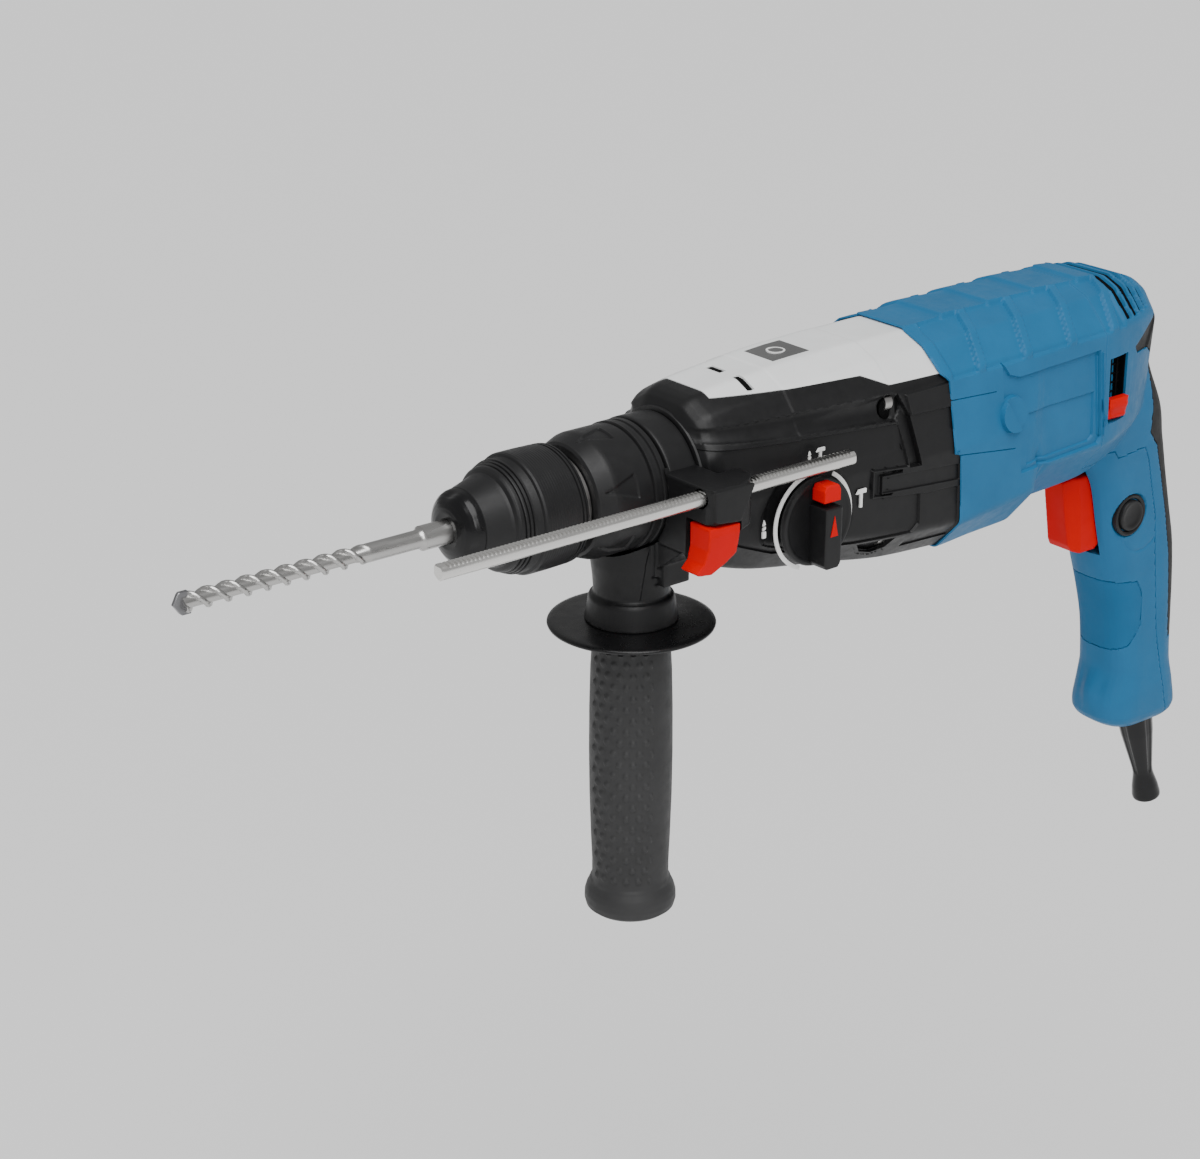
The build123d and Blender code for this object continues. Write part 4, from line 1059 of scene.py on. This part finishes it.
def lock_on():
    x, z = LOCK
    ring = [(-15.2, 8.2), (-17.2, 8.2), (-17.7, 8.7), (-17.8, 9.6), (-17.4, 10.2), (-15.2, 10.2),
        (-15.2, 8.2)]
    ring = placed(revolve(ring, 80, cap=False), ACROSS, (x, 0, z))
    piece("lock_ring", ring, "black_plastic", "root", ["lock_bezel"])
    cap = [(-13.6, 7.5), (-18.0, 7.6), (-18.6, 7.2), (-18.8, 6.3), (-18.3, 5.2), (-18.0, 3.5), (-17.9, 0.3)]
    cap = placed(revolve(cap, 80), ACROSS, (x, 0, z))
    piece("lock_cap", cap, "black_plastic", "lock_button", ["lock_button"])


def direction_lever():
    """Curved finger pad with two ribs, on the arm of the brush plate."""
    front, back, bottom, top = 338.6, 350.7, -15.7, -5.6
    axis_z, outer, inner = -3.75, 38.2, 35.2
    n = 14
    xs, heights = np.linspace(front, back, n), np.linspace(bottom, top, n)
    outside, underside = [], []
    for x in xs:
        for z in heights:
            edge = min(x - front, back - x, z - bottom, top - z)
            r = outer + 0.7 * min(1.0, edge / 1.5) + 0.35 * (math.sin((z - bottom) * 1.24) > 0.3)
            outside.append((x, -math.sqrt(r * r - (z - axis_z) ** 2), z))
            underside.append((x, -math.sqrt(inner ** 2 - (z - axis_z) ** 2), z))
    count = n * n
    faces = []
    for i in range(n - 1):
        for j in range(n - 1):
            a, b, c, d = i * n + j, i * n + j + 1, (i + 1) * n + j + 1, (i + 1) * n + j
            faces += [(a, b, c, d), (count + d, count + c, count + b, count + a)]
    border = list(range(n)) + [i * n + n - 1 for i in range(1, n)]
    border += [(n - 1) * n + j for j in range(n - 2, -1, -1)] + [i * n for i in range(n - 2, 0, -1)]
    faces += [(a, count + a, count + b, b) for a, b in sides_of(border)]
    piece("lever_pad", (outside + underside, faces), "red_plastic", "brush_plate", ["direction_lever"],
          smooth=50)


def vent_grille():
    """Louvres in the side window with a sheet behind them, darker than the black plastic: the grille's own
    black, deepened by painted shade inside the window.
    """
    # the sheet behind the louvres is painted shade
    shapes = [block(338.2, 351.0, -30.9, -30.3, -16.5, 13.6)]
    for x in (340.8, 344.8, 348.8):
        shapes.append(block(x - 0.5, x + 0.5, -32.0, -30.7, -16.2, 13.2))
    for z in np.arange(-13, 13, 4.2):
        shapes.append(block(338.4, 350.9, -31.6, -30.7, z - 0.35, z + 0.35))
    piece("vent_louvres", joined(shapes), "black_plastic", "root", ["vent_grille"], "painted_shade_black", 20)


def cord_boot():
    """Strain relief, leaning back under the foot of the handle."""
    profile = [(0, 0.5), (0, 10.3), (-3, 10.3), (-4, 9.7), (-5.2, 9.3), (-12, 8.6), (-18, 8.1), (-30, 6.5),
        (-40, 5.2), (-43.5, 5.0), (-46, 5.3), (-52, 6.5), (-57, 7.1), (-58.4, 7.0), (-59, 6.3), (-59, 4.2),
        (-56.5, 3.8), (-56.5, 0.5)]

    def ribs(z, angle):
        """Four shallow grooves along the tapering part."""
        if not -42 < z < -6:
            return np.zeros_like(angle)
        return -0.5 * ease(np.abs(np.cos(2 * angle)) - 0.93, 0.04)
    verts, faces = revolve(fine(profile, 1.0), 96, "z", bulge=ribs)
    lean = Matrix.Rotation(-math.atan2(16, 55), 3, "Y")
    verts = [np.array(lean @ Vector(v)) + np.array([415.5, 0, -188.5]) for v in verts]
    piece("strain_relief", (verts, faces), "black_rubber", "root", ["cord_boot"], "gloss_black_rubber", 50)


# ---- light, floor and camera
FLOOR_HALF, FLOOR_DROP = 8.0, 0.35  # metres: half its side, and its depth below the tool
CAMERA_PLACE = (-585.5, -832.1, 385.2)  # millimetres from the chuck's nose


def into_scene(name, data):
    obj = bpy.data.objects.new(name, data)
    link_once(obj)
    return obj


def face_along(obj, direction):
    obj.rotation_euler = Vector(direction).to_track_quat("-Z", "Y").to_euler()


def studio():
    low, high = cad_bounds
    z = low[2] - FLOOR_DROP
    corners = [(x * FLOOR_HALF, y * FLOOR_HALF, z) for x, y in ((-1, -1), (1, -1), (1, 1), (-1, 1))]
    mesh = bpy.data.meshes.new("floor")
    mesh.from_pydata(corners, [], [(0, 1, 2, 3)])
    floor = into_scene("floor", mesh)
    mat = bpy.data.materials.new("pale_floor")
    mat.use_nodes = True
    shader = mat.node_tree.nodes["Principled BSDF"]
    shader.inputs["Base Color"].default_value = (0.86, 0.86, 0.86, 1)
    shader.inputs["Roughness"].default_value = 0.9
    mesh.materials.append(mat)
    world = bpy.data.worlds.new("studio")
    world.use_nodes = True
    background = world.node_tree.nodes["Background"]
    background.inputs["Color"].default_value = (1.0, 1.0, 1.0, 1)
    background.inputs["Strength"].default_value = 0.40
    bpy.context.scene.world = world
    lamp = bpy.data.lights.new("front", "AREA")
    lamp.size, lamp.energy = 0.7, 7.0
    front = into_scene("front", lamp)
    front.location = (-0.95, -1.2, 0.75)
    target = Vector(((low[0] + high[0]) / 2, 0, (low[2] + high[2]) / 2))
    face_along(front, target - front.location)
    sky = bpy.data.lights.new("overhead", "SUN")
    sky.energy, sky.angle = 2.8, math.radians(50)
    face_along(into_scene("overhead", sky), (0.25, 0.4, -1))


def camera():
    azimuth, elevation = math.radians(38.5), math.radians(21.75)
    data = bpy.data.cameras.new("camera")
    data.sensor_width, data.lens = 36.0, 84.0
    cam = into_scene("camera", data)
    cam.location = Vector(ORIGIN) + MM * Vector(CAMERA_PLACE)
    level = math.cos(elevation)
    face_along(cam, (math.sin(azimuth) * level, math.cos(azimuth) * level, -math.sin(elevation)))
    bpy.context.scene.camera = cam


gear_case()
motor_body()
vent_shadow()
nose_cap()
locking_sleeve()
change_ring()
drill_bit()
carbide_tip()
clamp_band()
bracket()
guard()
side_grip()
depth_rod()
depth_button()
dial_low, dial_high = tool_box("mode_dial")
dial_centre = (dial_low[0] + dial_high[0]) / 2, (dial_low[2] + dial_high[2]) / 2
dial(*dial_centre)
symbols(*dial_centre)
trigger()
lock_on()
direction_lever()
vent_grille()
cord_boot()
studio()
camera()
